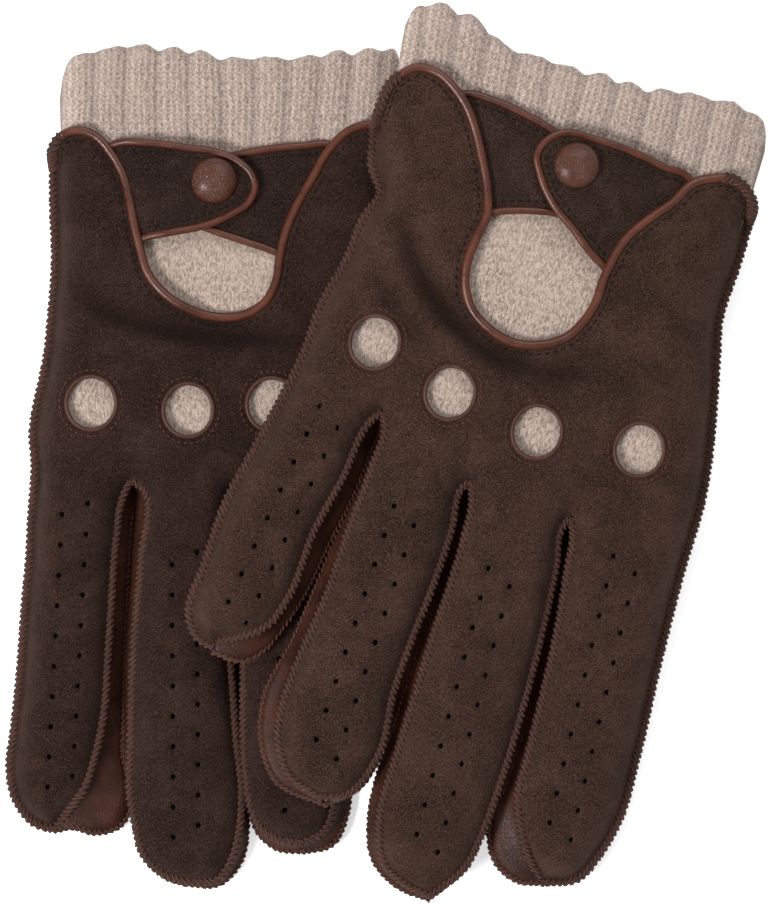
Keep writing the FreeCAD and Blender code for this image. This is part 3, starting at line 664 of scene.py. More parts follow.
def knit(name, light, middle, dark, fleck, column, row, depth, ribbed, painted_shade_end=None):
    """Felted heather knit. Its stitches and ribs follow the UV map, whose unit is a millimetre.
    Shade is painted into its colour in the ditches between stitches and ribs, and below an end v when one is
    given.
    """
    s = Shader(name)
    flat = s.coords.outputs["UV"]
    parts = s.node("ShaderNodeSeparateXYZ", {"Vector": flat})
    wobble = s.times(s.calc("SUBTRACT", s.noise(400, 3.0), 0.5), 1.4)
    u, v = (s.plus(parts.outputs[axis], wobble) for axis in "XY")
    columns = s.calc("DIVIDE", u, column)
    across = s.calc("ABSOLUTE", s.calc("SUBTRACT", s.calc("FRACT", columns), 0.5))
    slant = s.plus(s.calc("DIVIDE", v, row), s.times(across, 1.5))
    loops, ditch = (s.calc("COSINE", s.times(turns, 2 * math.pi)) for turns in (slant, columns))
    fuzz = s.noise(3.2, 5.0, 0.8, s.stretched(1.0, 0.8, 1.0, flat))
    streaks = s.noise(1.25, 4.0, 0.7, s.stretched(1.5, 0.6, 1.0, flat), 0.9)
    clumps = s.noise(0.55, 4.0, 0.65, s.stretched(1.0, 0.75, 1.0, flat), 0.8)
    specks = s.noise(1.7, 2.0, 0.4, s.stretched(0.7, 1.3, 1.0, flat))
    base = s.over(dark, light, streaks, *((0.38, 0.58) if ribbed else (0.43, 0.55)))
    base = s.over(base, middle, clumps, 0.3, 0.7, 0.05, 0.40)
    base = s.over(base, light, s.noise(50, 3.0, 0.6), 0.35, 0.7, 0.0, 0.3)
    base = s.over(base, fleck, specks, 0.68, 0.76, 0.0, 0.75)
    relief = 0.32 if ribbed else 0.05
    pattern = s.plus(s.times(loops, relief), s.times(ditch, -relief))
    # painted shade: the colour darkens in the ditches between stitches and lightens on the loops, mixed with
    # random fuzz tone
    shade = s.level(s.plus(pattern, s.times(fuzz, 1.5)), 0.2, 1.2, 0.66, 1.16)
    if ribbed:
        # painted shade: the colour darkens in the valleys between the ribs
        ridge = s.calc("ABSOLUTE", s.calc("COSINE", s.times(u, math.pi / RIB_PITCH)))
        shade = s.times(shade, s.level(ridge, 0.0, 0.5, 0.74, 1.0))
    # painted shade: below this v the lining's colour falls almost to black, so the holes in the fingers look
    # dark as if unlit
    if painted_shade_end:
        shade = s.times(shade, s.level(parts.outputs["Y"], painted_shade_end - 4, painted_shade_end, 0.05, 1.0))
    height = s.plus(pattern, s.plus(s.times(fuzz, 2.2), s.times(streaks, 1.2)))
    s.set(Base_Color=s.mix(1.0, base, s.grey(shade), "MULTIPLY"), Roughness=0.95, Specular_IOR_Level=0.1,
          Sheen_Weight=0.2, Sheen_Roughness=0.6, Normal=s.bump(height, depth, 0.9))
    return s.material


def thread(name, colour, darker):
    s = Shader(name)
    ply = s.noise(2400, 3.0, 0.6, s.stretched(1.0, 1.0, 0.5))
    base = s.over(darker, colour, ply, 0.35, 0.65)
    base = s.over(base, darker, s.noise(130, 2.0, 0.5), 0.4, 0.7, 0.0, 0.4)
    s.set(Base_Color=base, Roughness=0.7, Specular_IOR_Level=0.12, Normal=s.bump(ply, 0.00012, 0.5))
    return s.material


def metal(name, colour):
    s = Shader(name)
    scratches = s.noise(1800, 3.0, 0.6, s.stretched(1.0, 0.2, 1.0))
    base = s.over(colour, dimmed(colour, 0.45), s.noise(260, 3.0, 0.6), 0.4, 0.75, 0.0, 0.6)
    s.set(Base_Color=base, Metallic=1.0, Roughness=s.level(scratches, 0.3, 0.7, 0.25, 0.5),
          Normal=s.bump(scratches, 0.00003, 0.4))
    return s.material


BINDING_LEATHER = leather(
    "binding_leather", (0.088, 0.023, 0.010), (0.046, 0.012, 0.006), 0.31, 1500, 0.00003, 0.3, shine=0.32)
FACING_LEATHER = leather("facing_leather", (0.064, 0.020, 0.011), (0.034, 0.012, 0.007), 0.5, 1500, 0.00005)
SMOOTH_LEATHER = leather(
    "smooth_leather", (0.044, 0.0142, 0.0073), (0.019, 0.0068, 0.0042), 0.44, 1100, 0.00008, 0.4, shine=0.17)
CAP_LEATHER = leather(
    "cap_leather", (0.070, 0.019, 0.008), (0.050, 0.014, 0.006), 0.30, 2300, 0.00009, 0.05, shine=0.36)
RIDGE_LEATHER = leather("seam_leather", (0.038, 0.019, 0.014), (0.020, 0.010, 0.0075), 0.8, 1500, 0.00006)
WHIP_THREAD = thread("whip_thread", (0.125, 0.042, 0.024), (0.036, 0.014, 0.009))
TOP_THREAD = thread("top_thread", (0.008, 0.005, 0.004), (0.004, 0.003, 0.002))
FACING_THREAD = thread("facing_thread", (0.105, 0.038, 0.024), (0.036, 0.015, 0.010))
# the lining is painted almost black below v = 13, as shade under the perforated fingers
LINING_KNIT = knit("lining_jersey", (0.68, 0.53, 0.445), (0.46, 0.355, 0.292), (0.19, 0.130, 0.100),
                   (0.16, 0.075, 0.045), 1.25, 0.95, 0.00040, ribbed=False, painted_shade_end=13.0)
RIB_KNIT = knit("rib_knit", (0.67, 0.522, 0.442), (0.48, 0.368, 0.308), (0.235, 0.165, 0.130),
                (0.16, 0.075, 0.050), 1.65, 1.25, 0.00050, ribbed=True)
BRASS = metal("satin_brass", (0.55, 0.40, 0.20))
SUEDES = {
    key: suede(*look) for key, look in {
        "right": ("right_suede", (0.0360, 0.0193, 0.0135), (0.058, 0.032, 0.0230), (0.0225, 0.0118, 0.0084)),
        "left": ("left_suede", (0.0250, 0.0130, 0.0102), (0.041, 0.0222, 0.0170), (0.0150, 0.0080, 0.0063)),
        "right_tabs": (
            "right_tab_suede", (0.0265, 0.0150, 0.0115), (0.043, 0.025, 0.0190), (0.0165, 0.0092, 0.0072)),
        "left_tabs": (
            "left_tab_suede", (0.0215, 0.0120, 0.0100), (0.036, 0.0205, 0.0168), (0.0130, 0.0073, 0.0061)),
    }.items()
}


# Gloves -------------------------------------------------------------------------------------------


def seam_shares(runs, far, start):
    """Seam heights along the runs from finger to finger. They leave LOW_SEAM at the two outer fingertips."""
    shares = [np.full(len(run), far) for run in runs]
    first, last = along(runs[0]), along(runs[-1])
    for k, gone, reach in ((0, first, 14), (-1, last[-1] - last, 12)):
        shares[k] = LOW_SEAM + (far - LOW_SEAM) * step_up(gone, start, start + reach)
    return shares


class Glove:
    """One glove's surfaces and pieces."""

    def __init__(self, side, spec):
        self.side, self.spec, self.mirror = side, spec, spec["mirror"]
        self.body = f"{side}_glove"
        self.waves = np.random.default_rng(spec["seed"]).uniform(0, 1, (14, 4))
        self.make_underside()
        self.back_runs = [smooth(run) for run in spec["back_runs"]]
        self.palm_runs = [smooth(run) for run in spec["palm_runs"]]
        self.index_side, self.little_side, self.wrist = (
            smooth(spec[key]) for key in ("index_side", "little_side", "wrist"))
        bound_v, bound_u = spec["bound"]
        first = int(np.argmax(self.wrist[:, 1] >= bound_v))
        last = int(np.flatnonzero(self.wrist[:, 0] <= bound_u)[-1])
        self.bound = self.wrist[first : last + 1]
        self.unbound = (self.wrist[last:], self.wrist[: first + 1])
        self.seam = np.vstack([self.index_side, *self.back_runs, self.little_side])
        self.palm_seam = np.vstack([self.index_side, *self.palm_runs, self.little_side])
        self.run_share = seam_shares(self.back_runs, HIGH_SEAM, 0)
        self.palm_run_share = []
        for part, line in zip(seam_shares(self.palm_runs, DEEP_SEAM, 2), self.palm_runs):
            tip = -line[:, 1].min()
            part = part + (LOW_SEAM - DEEP_SEAM) * 0.8 * step_up(-line[:, 1], tip - 22, tip)
            self.palm_run_share.append(np.clip(part, DEEP_SEAM, LOW_SEAM))
        index, little = (np.full(len(line), LOW_SEAM) for line in (self.index_side, self.little_side))
        self.seam_share = np.concatenate([index, *self.run_share, little])
        self.palm_share = np.concatenate([index, *self.palm_run_share, little])
        self.seam_ledge = np.interp(self.seam_share, (LOW_SEAM, HIGH_SEAM), (OUTER_BAND, INNER_BAND))

    def place(self, points):
        """Points in the glove's frame, as points in the row frame in metres."""
        p = np.asarray(points, float)
        x, y = self.mirror * p[:, 0], p[:, 1]
        c, s = math.cos(self.spec["turn"]), math.sin(self.spec["turn"])
        ox, oy = self.spec["origin"]
        return np.stack([ox + x * c - y * s, oy + x * s + y * c, p[:, 2]], axis=1) * MM

    def add(self, piece, verts, faces, material, uv=None, nodes=(), slot=None, body=None):
        obj = add_object(f"{self.side}_{piece}", self.place(verts), faces, material, uv, flip=self.mirror < 0)
        if body is not False:
            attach(obj, body or self.body)
        if nodes:
            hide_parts(*[f"{self.side}_{n}" for n in nodes])
        return obj

    # Heights

    def make_underside(self):
        """A smooth map of the underside's height, every millimetre."""
        self.low_u, self.low_v = -112, -134
        u = np.arange(self.low_u, 62, 1.0)[:, None]
        v = np.arange(self.low_v, 140, 1.0)
        little, fold, index = (np.interp(v, STATIONS, heights) for heights in self.spec["underside"])
        near = (u - COLUMNS[1]) / (COLUMNS[2] - COLUMNS[1])
        far = (u - COLUMNS[1]) / (COLUMNS[0] - COLUMNS[1])
        field = np.where(u > COLUMNS[1], fold + (index - fold) * near, fold + (little - fold) * far)
        kernel = np.exp(-0.5 * (np.arange(-BLUR * 3, BLUR * 3 + 1) / BLUR) ** 2)
        kernel /= kernel.sum()
        field = np.pad(field, BLUR * 3, mode="reflect", reflect_type="odd")
        for axis in (0, 1):
            field = np.apply_along_axis(np.convolve, axis, field, kernel, "valid")
        self.field = np.maximum(field, 0.2)

    def base(self, p):
        """Height of the underside at these places."""
        x = np.clip(p[:, 0] - self.low_u, 0, self.field.shape[0] - 1.001)
        y = np.clip(p[:, 1] - self.low_v, 0, self.field.shape[1] - 1.001)
        i, j = x.astype(int), y.astype(int)
        a, b = x - i, y - j
        f = self.field
        near = f[i, j] * (1 - a) + f[i + 1, j] * a
        far = f[i, j + 1] * (1 - a) + f[i + 1, j + 1] * a
        return near * (1 - b) + far * b

    def thick(self, p):
        """The glove's thickness at these places."""
        return sum(np.interp(p[:, 1] + d, STATIONS, THICKNESS) for d in (-12, -6, 0, 6, 12)) / 5

    def ripple(self, p):
        """Slow unevenness of the leather, and its creases."""
        total = np.zeros(len(p))
        for a, b, c, d in self.waves:
            angle, length = a * math.pi, 14 + 40 * b
            travel = p[:, 0] * math.cos(angle) + p[:, 1] * math.sin(angle)
            total += np.sin(travel * 2 * math.pi / length + c * 6.3) * (0.05 + 0.09 * d)
        for deep, _, side, fade in self.folds(p):
            crest, trough = np.exp(-(((side + 3.5) / 3.2) ** 2)), np.exp(-(((side - 3.5) / 3.6) ** 2))
            total += fade * deep * (0.5 * crest - trough)
        return total

    def folds(self, p):
        """For each crease: its depth and the strength of its painted shade, and each place's distance to its
        left and its share.
        """
        for points, deep, dark in self.spec["creases"]:
            line = smooth(points, 2.0)
            gap, where = nearest(p, line)
            heading, away = headings(line)[where], p - line[where]
            left = heading[:, 0] * away[:, 1] - heading[:, 1] * away[:, 0]
            side = np.copysign(gap, left)
            fade = np.sin(np.pi * np.clip((where + 0.5) / (len(line) - 1), 0, 1)) ** 0.6
            yield deep, dark, side, fade * (1 - step_up(gap, 9, 14))

    def painted_crease_shade(self, p):
        """Painted shade along the creases: how much the suede's colour is darkened at these places."""
        total = np.zeros(len(p))
        for _, dark, side, fade in self.folds(p):
            total += fade * dark * np.where(side < 1.0, np.exp(-(((side - 1.0) / 2.6) ** 2)),
                                            np.exp(-(((side - 1.0) / 4.2) ** 2)))
        return np.clip(total, 0, 1)

    def rise(self, gap, radius):
        """How far the leather has climbed from seam level to full height at this distance from the seam."""
        round_edge = np.sqrt(1 - (1 - np.clip(gap / radius, 0, 1)) ** 2)
        crown = 1 - (1 - np.clip(gap / CROWN_REACH, 0, 1)) ** 2
        return 0.88 * round_edge + 0.12 * crown

    def back_height(self, p):
        """Height of the back panel's outer face."""
        gap, where = nearest(p, self.seam)
        ledge = self.seam_ledge[where]
        bottom, thick = self.base(p), self.thick(p)
        seam = bottom + thick * self.seam_share[where]
        top = bottom + thick + self.ripple(p)
        gap = np.where(gap < ledge, gap * 0.06, gap - ledge * 0.94)
        return seam + (top - seam) * self.rise(gap, ROUND_REACH)

    def on_back(self, flat, lift=0.0):
        """A flat line laid on the back panel."""
        flat = np.asarray(flat, float)[:, :2]
        return np.column_stack([flat, self.back_height(flat) + lift])

    def seam_line(self, flat, share):
        """A flat line lifted to a share of the glove's thickness."""
        flat = flat[:, :2]
        return np.column_stack([flat, self.base(flat) + self.thick(flat) * share])

    # Pieces

    def perforations(self):
        holes = []
        for finger, (base, tip) in self.spec["fingers"].items():
            base, tip = np.array(base, float), np.array(tip, float)
            run = (base - tip) / np.linalg.norm(base - tip)
            side = np.array([-run[1], run[0]])
            for row in (-1, 1):
                for i in range(PERFORATIONS[finger]):
                    centre = tip + run * (i + 0.2 * row) * PERFORATION_PITCH + side * row * PERFORATION_ROW
                    holes.append(oval(centre, *PERFORATION_RADII, 12))
        return holes

    def back_panel(self):
        outline = (self.index_side, *self.back_runs, self.little_side, self.wrist)
        loop = np.vstack([line[:-1] for line in outline])
        centres = self.spec["knuckles"]
        holes = [knuckle_ring(centre, 0, 44) for centre in centres] + self.perforations()
        around = [knuckle_ring(centre, gap, 48) for centre in centres for gap in (0.7, 1.5, 2.6)]
        verts, faces = triangulated(loop, holes, (0.35, 0.9, 1.6, 2.5, 3.6, 5.0), 2.0, around)
        height = self.back_height(verts)
        for centre in centres:
            reach = np.hypot(*((verts - centre) / KNUCKLE_RADII).T)
            height -= 0.55 * np.exp(-(((reach - 1.0) / 0.16) ** 2))
        gap, _ = nearest(verts, self.wrist)
        height -= 0.35 * np.exp(-((gap / 1.6) ** 2)) - 0.15 * np.exp(-(((gap - 4.0) / 1.5) ** 2))
        solid, faces = thickened(np.column_stack([verts, height]), faces, LEATHER)
        # painted shade along the creases, carried to the suede in the UV map
        shade = self.painted_crease_shade(solid[:, :2])
        self.add("back", solid, faces, SUEDES[self.side], np.column_stack([shade, shade]),
                 nodes=["back_panel"], slot="suede")

    def palm_height(self, p):
        gap, where = nearest(p, self.palm_seam)
        return self.base(p) + self.thick(p) * self.palm_share[where] * (1 - self.rise(gap, 6.0)) + 0.02

    def palm_panel(self):
        end = self.spec["palm_end"]
        start, finish = self.index_side[0, 0], self.little_side[-1, 0]
        corners = [(finish, end - 2), (finish + 2, end), (start - 2, end), (start, end - 2)]
        edge = [line[:-1] for line in (self.index_side, *self.palm_runs, self.little_side)]
        loop = np.vstack([*edge, self.little_side[-1:], spaced(corners, 2.0)])
        hole = oval(THUMB_HOLE, *THUMB_HOLE_RADII, 40)
        verts, faces = triangulated(loop, [hole], (0.4, 1.0, 1.8, 2.8, 4.2), 3.0)
        solid, faces = thickened(np.column_stack([verts, self.palm_height(verts)]), faces[:, ::-1], LEATHER)
        self.add("palm", solid, faces, SMOOTH_LEATHER, nodes=["palm_panel"], slot="smooth_leather")

    def fourchettes(self):
        """The strips between two fingers, from the back's seam to the palm's, each in two halves."""
        count, steps = 70, np.linspace(0, 1, 9)
        for k, name in enumerate(("index_middle", "middle_ring", "ring_little")):
            high = self.seam_line(self.back_runs[k], self.run_share[k])
            low = self.seam_line(self.palm_runs[k], self.palm_run_share[k])
            parts = []
            for upper, lower in zip(halves(high), halves(low)):
                a, b = resampled(upper, count), resampled(lower, count)
                verts = np.vstack([a + (b - a) * np.array([step**2.6, step**2.6, step]) for step in steps])
                faces = halved(between(len(steps), count, closed=False))
                parts.append(thickened(verts, faces[:, ::-1], LEATHER * 0.8))
            self.add(f"fourchette_{name}", *joined(parts), SMOOTH_LEATHER, nodes=[f"fourchette_{name}"],
                     slot="smooth_leather")

    def seams(self):
        """Overcast seams: a raised leather edge, pinched in by thread at each stitch."""
        past_index, past_little = (self.on_back(line, -0.3) for line in self.unbound)
        index, little = (self.seam_line(line, LOW_SEAM) for line in (self.index_side, self.little_side))
        outer = (np.vstack([past_index[:-2], index]), np.vstack([little, past_little[2:]]))
        back = [(path, 1.6, 1.2) for path in outer]
        for line, share in zip(self.back_runs, self.run_share):
            back.append((self.seam_line(line, share) - [0, 0, 0.1], 1.5, 1.2))
        palm = []
        for line, share in zip(self.palm_runs, self.palm_run_share):
            size = 0.9 + 0.2 * (share - DEEP_SEAM) / (LOW_SEAM - DEEP_SEAM)
            palm.append((self.seam_line(line, share), size, size))
        for name, runs in (("back", back), ("palm", palm)):
            ridges = [pinched(path, wide, high, (0.91, 0.17), 9) for path, wide, high in runs]
            wound = [whipped(path, wide * 0.90, high * 0.92, 0.27) for path, wide, high in runs]
            self.add(f"{name}_seam_edge", *joined(ridges), RIDGE_LEATHER, slot="suede")
            self.add(f"{name}_seam_thread", *joined(wound), WHIP_THREAD, nodes=[f"{name}_seam_thread"],
                     slot="thread")

    def binding(self):
        bound = tube(self.on_back(self.bound, -0.35), 1.22, 1.08, 14)
        self.add("wrist_binding", *bound, BINDING_LEATHER, nodes=["wrist_binding"], slot="binding")
        flat = self.beside(self.wrist, 2.5)
        flat = flat[inside(flat, self.seam_loop()) & (nearest(flat, self.seam)[0] > 1.5)]
        sewn = stitches(self.on_back(flat, 0.1), 1.55, 0.75, 0.2)
        self.add("wrist_topstitch", *sewn, TOP_THREAD, slot="thread")

    def seam_loop(self):
        return np.vstack([self.seam[:, :2], self.wrist])

    def beside(self, line, distance):
        """A flat line beside another, on its right."""
        heading = headings(line[:, :2])
        moved = line[:, :2] + np.stack([heading[:, 1], -heading[:, 0]], axis=1) * distance
        return moved[nearest(moved, line)[0] > abs(distance) * 0.97]

    def knuckles(self):
        """The rolled facings of the knuckle holes, and the stitches round them."""
        rims, rows = [], []
        for centre in self.spec["knuckles"]:
            rim = self.on_back(knuckle_ring(centre, 0.15, 60), -0.45)
            rims.append(tube(rim, 0.6, 0.55, 9, closed=True))
            row = self.on_back(knuckle_ring(centre, 1.9, 64), 0.08)
            rows.append(stitches(row, 1.2, 0.5, 0.22, closed=True))
        self.add("knuckle_rims", *joined(rims), FACING_LEATHER, nodes=["knuckle_hole_facings"],
                 slot="binding")
        self.add("knuckle_topstitch", *joined(rows), FACING_THREAD, slot="thread")

    def hand_loop(self, inset, end):
        """The hand's outline up to a height, drawn in by the inset."""
        index, little = (line[line[:, 1] < end] for line in (self.index_side, self.little_side))
        return inset_loop(spaced(np.vstack([index, *self.back_runs, little]), 1.2, closed=True), inset)

    def linings(self):
        thumb_hole = oval(THUMB_HOLE, *THUMB_HOLE_RADII, 36)
        for name, end, holes in (("back", 88.0, []), ("palm", 80.0, [thumb_hole])):
            loop = self.hand_loop(LINING_INSET, end)
            verts, faces = triangulated(loop, holes, (0.5, 1.2, 2.2, 3.4), 2.5)
            gap, _ = nearest(verts, self.seam)
            bottom, thick = self.base(verts), self.thick(verts)
            inner = self.rise(np.maximum(gap - LINING_INSET, 0), ROUND_REACH)
            edge = bottom + thick * 0.45
            if name == "back":
                drop = np.interp(verts[:, 1], (-20, 10, 45, 80), (2.4, 2.0, 2.9, 3.3))
                sag = np.sin(verts[:, 0] * 0.21 + 1.0) * np.sin(verts[:, 1] * 0.17) * 0.35
                height = edge + (bottom + thick - drop + sag - edge) * inner
                height = np.minimum(height, self.back_height(verts) - LEATHER - CLEARANCE)
            else:
                height = bottom + 1.2 + (edge - bottom - 2.2) * (1 - inner)
                faces = faces[:, ::-1]
            solid, faces = thickened(np.column_stack([verts, height]), faces, LINING)
            self.add(f"lining_{name}", solid, faces, LINING_KNIT, solid[:, :2], nodes=[f"lining_{name}"],
                     slot="lining_knit")

    def cuff(self):
        """The rib-knit cuff: a flattened, ribbed tube whose scalloped end turns in to an inner wall."""
        (lo_start, lo_end), (hi_start, hi_end) = self.spec["cuff_sides"]
        top = smooth(self.spec["cuff_top"], 0.8)
        columns, width, middle = 360, hi_start - lo_start, (lo_start + hi_start) / 2
        # the loop runs over the top from the little-finger side to the index side and back underneath
        s = np.linspace(0, 1, columns, endpoint=False)
        upper = s < 0.5
        around = np.where(upper, s * 2, 2 - s * 2)
        eased = around + 0.018 * np.sin(2 * math.pi * around)
        ribs_at = eased * width
        rib = (0.5 + 0.5 * np.cos(2 * math.pi * ribs_at / RIB_PITCH)) ** 0.75
        rib -= 0.16 * np.exp(-(((ribs_at / RIB_PITCH + 0.5) % 1.0 - 0.5) / 0.09) ** 2)
        uneven = np.sin(ribs_at * 0.9) * 0.25 + np.sin(ribs_at * 0.37 + 1) * 0.3
        edge = np.clip(np.minimum(around, 1 - around) * width / 6.5, 0, 1)
        belly = np.sqrt(1 - (1 - edge) ** 2)
        ends = np.interp(lo_end + eased * (hi_end - lo_end), top[:, 0], top[:, 1])
        outer, inner = ((0, t) for t in np.linspace(0, 1, 34)), ((1, t) for t in np.linspace(1, 0.2, 12))
        rows, uvs = [], []
        for wall, t in (*outer, *inner):
            scallop = 1.2 * (rib - 0.5) * t**6
            lip = 1 - np.clip((t - 0.955) / 0.045, 0, 1) ** 2 * 0.5
            v = CUFF_START + (ends - CUFF_START) * t + scallop + uneven * t**3 - wall * 0.6 * (t > 0.9)
            low = lo_start + (lo_end - lo_start) * math.sqrt(t)
            high = hi_start + (hi_end - hi_start) * math.sqrt(t)
            u = low + eased * (high - low) + 0.35 * np.sin(v * 0.13 + eased * 9) * belly
            flat = np.stack([u, v], axis=1)
            bottom = self.base(flat) + 1.2
            ceiling = self.base(flat) + self.thick(flat) - 2.9 + 0.5 * np.sin(eased * 7 + t * 4)
            half = (ceiling - bottom) / 2
            centre = bottom + half
            inward = 1.9 * wall * np.clip(edge + 0.2, 0, 1)
            ribbing = RIB_DEPTH * rib * (0.35 + 0.65 * t) * (1 - wall * 1.6)
            amount = belly * (half * lip - inward + ribbing)
            z = centre + np.where(upper, amount * 1.02, -np.minimum(amount, half * 1.05))
            covered = upper & inside(flat, self.seam_loop())
            z = np.where(covered, np.minimum(z, self.back_height(flat) - LEATHER - CLEARANCE), z)
            u = (u - middle) * (1 - wall * 0.035) + middle
            rows.append(np.stack([u, v, np.maximum(z, 0.3)], axis=1))
            uvs.append(np.stack([ribs_at + np.where(upper, 0, width), v + wall * 200], axis=1))
        faces = [face[::-1] for face in between(len(rows), columns)]
        self.add("cuff", np.vstack(rows), faces, RIB_KNIT, np.vstack(uvs), nodes=["rib_cuff"],
                 slot="rib_knit")

    def tab(self, name, lift_root, lift_free):
        """A wrist tab: suede, bound along its edge, topstitched, bending at its sewn root."""
        points, body = self.spec[f"{name}_tab"], f"{self.side}_{name}_tab_body"
        line = smooth(points, 0.8)
        hinge = np.array(self.spec[f"{name}_hinge"], float)
        axis = hinge[1] - hinge[0]
        axis /= np.linalg.norm(axis)
        away = np.array([-axis[1], axis[0]])
        tip = np.array(self.spec["snap"], float) if name == "over" else np.array(points).mean(0)
        if (tip - hinge[0]) @ away < 0:
            away = -away

        def height(flat):
            beyond = (flat[:, :2] - hinge[0]) @ away
            lift = lift_root + (lift_free - lift_root) * step_up(beyond, -5.5, 6.0)
            return self.base(flat) + self.thick(flat) + self.ripple(flat) * 0.4 + lift

        closing = spaced([line[-1], line[0]], 1.5)[1:-1]
        loop = np.vstack([line, closing])
        verts, faces = triangulated(loop, [], (0.6, 1.4, 2.4), 1.8)
        gap, _ = nearest(verts, line)
        z = height(verts) - 0.5 * np.exp(-((gap / 1.3) ** 2)) + 0.12 * np.exp(-(((gap - 4.2) / 1.4) ** 2))
        solid, faces = thickened(np.column_stack([verts, z]), faces, LEATHER)
        bound = tube(np.column_stack([line, height(line) - 0.42]), 1.02, 0.92, 12)
        row = inset_loop(loop, 2.5)
        row = np.roll(row, -int(nearest(row, closing)[0].argmin()), 0)
        row = row[nearest(row, closing)[0] > 3.0]
        sewn = stitches(np.column_stack([row, height(row) + 0.05]), 1.5, 0.7, 0.19)
        made = [
            self.add(f"{name}_tab", solid, faces, SUEDES[f"{self.side}_tabs"],
                     nodes=[f"{name}_tab", f"{name}_tab_root"], slot="suede", body=False),
            self.add(f"{name}_tab_binding", *bound, BINDING_LEATHER, nodes=[f"{name}_tab_binding"],
                     slot="binding", body=False),
            self.add(f"{name}_tab_topstitch", *sewn, TOP_THREAD, slot="thread", body=False),
        ]
        centre = hinge.mean(0)
        ends = np.array([centre - away * 1.0, centre + away * 3.0])
        start, end = self.place(np.column_stack([ends, height(ends)]))
        for obj in made:
            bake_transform(obj)
        return height

    def tabs(self):
        """Both tabs, the domed cap on the over tab, and the brass of the snap inside."""
        self.tab("under", -1.6, -0.9)
        over = self.tab("over", -1.0, 1.25)
        centre = np.array(self.spec["snap"], float)
        top = float(over(centre[None])[0])
        count = 48
        rings = [
            np.column_stack([oval(centre, CAP_RADIUS * r, CAP_RADIUS * r, count), np.full(count, top + z)])
            for r, z in CAP_PROFILE
        ]
        verts = np.vstack([*rings, [[*centre, top + CAP_HEIGHT]]])
        faces = between(len(rings), count) + fan((len(rings) - 1) * count, count, len(verts) - 1)
        faces.append(tuple(range(count))[::-1])
        self.add("snap_cap", verts, faces, CAP_LEATHER, nodes=["snap_cap"], slot="cap_leather",
                 body=f"{self.side}_over_tab_body")
        for node in ("snap_socket", "snap_stud", "snap_post"):
            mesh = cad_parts[f"{self.side}_{node}"].data
            mesh.materials.clear()
            mesh.materials.append(BRASS)

    def index_edge(self, v):
        """How far out the hand reaches on the index finger's side."""
        edge = self.index_side[self.index_side[:, 1] > -60][::-1]
        return np.interp(v, edge[:, 1], edge[:, 0])

    def thumb(self):
        """The thumb folded under the palm: a soft stall over the ground, with its lining and quirk."""
        mouth, tip = np.array(THUMB_MOUTH), np.array(THUMB_TIP)
        straight = np.linalg.norm(tip - mouth)
        run = (tip - mouth) / straight
        side = np.array([-run[1], run[0]])
        length, count = straight + THUMB_CAP, 40

        def half_width(travel, shrink=0.0):
            past = max(0.0, travel - (length - THUMB_CAP - shrink))
            taper = THUMB_TAPER * travel / (length - shrink)
            return (THUMB_HALF - taper - shrink) * math.sqrt(max(0.0, 1 - (past / 11.4) ** 2))

        def ceiling(centre):
            return self.base(np.array([centre]))[0] - 0.15

        # a rounded square, so that the stall is flatter than an oval
        ring = np.linspace(0, 2 * math.pi, count, endpoint=False)
        x, z = (np.sign(wave) * np.abs(wave) ** 0.75 for wave in (np.cos(ring), np.sin(ring)))
        rings = {}
        for name, shrink, material, slot in (
            ("thumb", 0.0, SMOOTH_LEATHER, "smooth_leather"),
            ("thumb_lining", 1.0, LINING_KNIT, "lining_knit"),
        ):
            rows = []
            for travel in np.linspace(0, length - shrink, 34):
                half = max(half_width(travel, shrink), 0.25)
                centre = mouth + run * travel
                top, low = ceiling(centre) - shrink, 0.15 + shrink
                high = (top - low) / 2 * min(1.0, (half / 9.0) ** 0.6)
                points = np.column_stack([centre + side * half * x[:, None], (top + low) / 2 + high * z])
                points[:, 0] = np.minimum(points[:, 0], self.index_edge(points[:, 1]) - 0.8 - shrink)
                rows.append(points)
            rings[name] = rows[0]
            verts = np.vstack(rows)
            faces = between(len(rows), count)
            faces.append(tuple(range(len(verts) - count, len(verts))))
            self.add(name, verts, faces, material, verts[:, :2], nodes=[name], slot=slot)
        sides = []
        for sign in (-1, 1):
            path = []
            for travel in np.linspace(0.04, 1.0, 60) * (length - 0.8):
                centre = mouth + run * travel
                u, v = centre + side * sign * (half_width(travel) + 0.1)
                u = min(u, float(self.index_edge(v)) - 0.7)
                path.append((u, v, max(0.7, (ceiling(centre) + 0.15) / 2)))
            sides.append(np.array(path))
        line = np.vstack([sides[0], sides[1][-2::-1]])
        sewn = joined([pinched(line, 0.6, 0.6, (1.0, 0.12), 8), whipped(line, 0.6, 0.6, 0.22)])
        self.add("thumb_seam", *sewn, WHIP_THREAD, slot="thread")
        self.quirk(rings["thumb"] + [0, 1.0, 0], count)

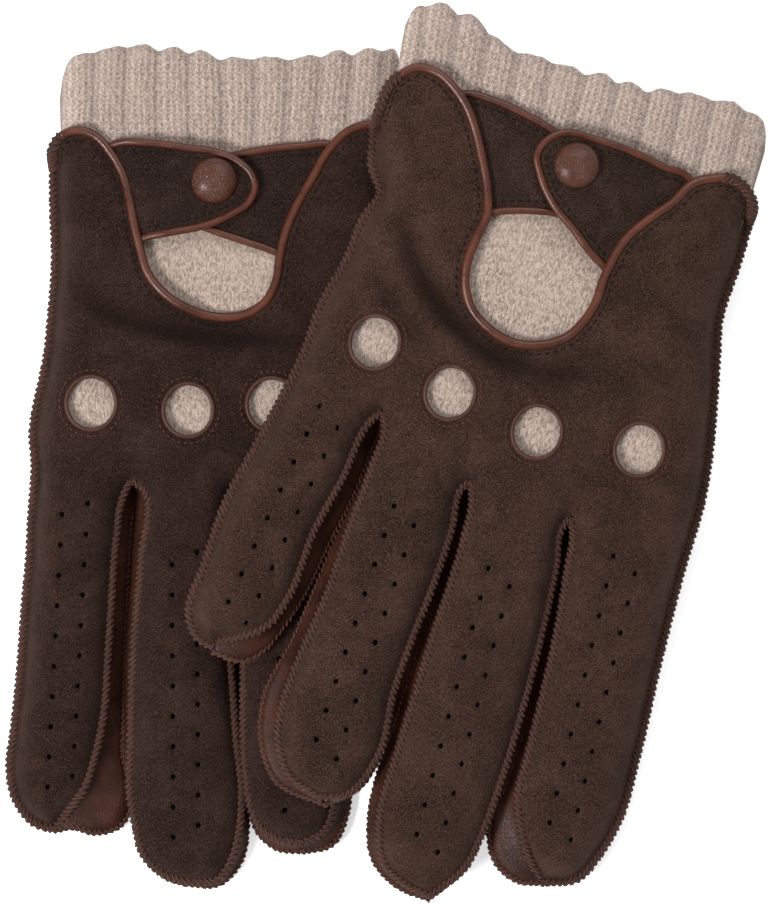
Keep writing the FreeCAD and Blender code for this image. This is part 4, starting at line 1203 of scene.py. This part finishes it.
    def quirk(self, mouth, count):
        """The plate that joins the thumb's mouth to the palm."""
        centre, shares = mouth.mean(0), (1.0, 0.85, 0.6, 0.3)
        verts = np.vstack([*(centre + (mouth - centre) * share for share in shares), centre[None]])
        quads = [(b, a, d, c) for a, b, c, d in between(len(shares), count)]
        last = fan((len(shares) - 1) * count, count, len(verts) - 1)
        faces = np.vstack([halved(quads), [(b, a, tip) for a, b, tip in last]])
        solid, faces = thickened(verts, faces, 0.7)
        self.add("thumb_quirk", solid, faces, SMOOTH_LEATHER, nodes=["thumb_quirk"], slot="smooth_leather")

    def build(self):
        for step in (self.back_panel, self.palm_panel, self.fourchettes, self.seams, self.binding,
                     self.knuckles, self.linings, self.cuff, self.tabs, self.thumb):
            step()


for side, spec in (("left", LEFT), ("right", RIGHT)):
    Glove(side, spec).build()


# Studio -------------------------------------------------------------------------------------------


def floor():
    size = 3.0
    verts = [(-size, -size, 0), (size, -size, 0), (size, size, 0), (-size, size, 0)]
    s = Shader("paper_ground")
    tone = s.level(s.noise(700, 3.0, 0.6), 0.3, 0.7, 0.80, 0.84)
    s.set(Base_Color=s.grey(tone), Roughness=0.9, Specular_IOR_Level=0.1, Emission_Color=(1, 1, 1, 1),
          Emission_Strength=0.5)
    ground = add_object("ground", verts, [(0, 1, 2, 3)], s.material)


def area_light(name, place, size, power):
    """A round lamp that faces the gloves."""
    data = bpy.data.lights.new(name, "AREA")
    data.shape, data.size, data.energy = "DISK", size, power
    lamp = bpy.data.objects.new(name, data)
    lamp.location = place
    lamp.rotation_mode = "QUATERNION"
    lamp.rotation_quaternion = (-Vector(place)).to_track_quat("-Z", "Y")
    bpy.context.scene.collection.objects.link(lamp)


def studio():
    floor()
    world = bpy.data.worlds.new("studio")
    bpy.context.scene.world = world
    world.use_nodes = True
    world.node_tree.nodes["Background"].inputs["Color"].default_value = (1.0, 1.0, 1.0, 1)
    world.node_tree.nodes["Background"].inputs["Strength"].default_value = 0.58
    area_light("key", (-1.10, -0.60, 1.45), 0.55, 45.0)
    area_light("fill", (0.35, 1.0, 1.0), 0.9, 9.0)
    camera = bpy.data.cameras.new("camera")
    camera.lens, camera.sensor_width = 200, 36
    camera.clip_start, camera.clip_end = 0.05, 20
    eye = bpy.data.objects.new("camera", camera)
    eye.location = (-0.00025, -0.00055, 1.3856)
    bpy.context.scene.collection.objects.link(eye)
    bpy.context.scene.camera = eye
    bpy.context.scene.view_settings.view_transform = "Standard"


studio()
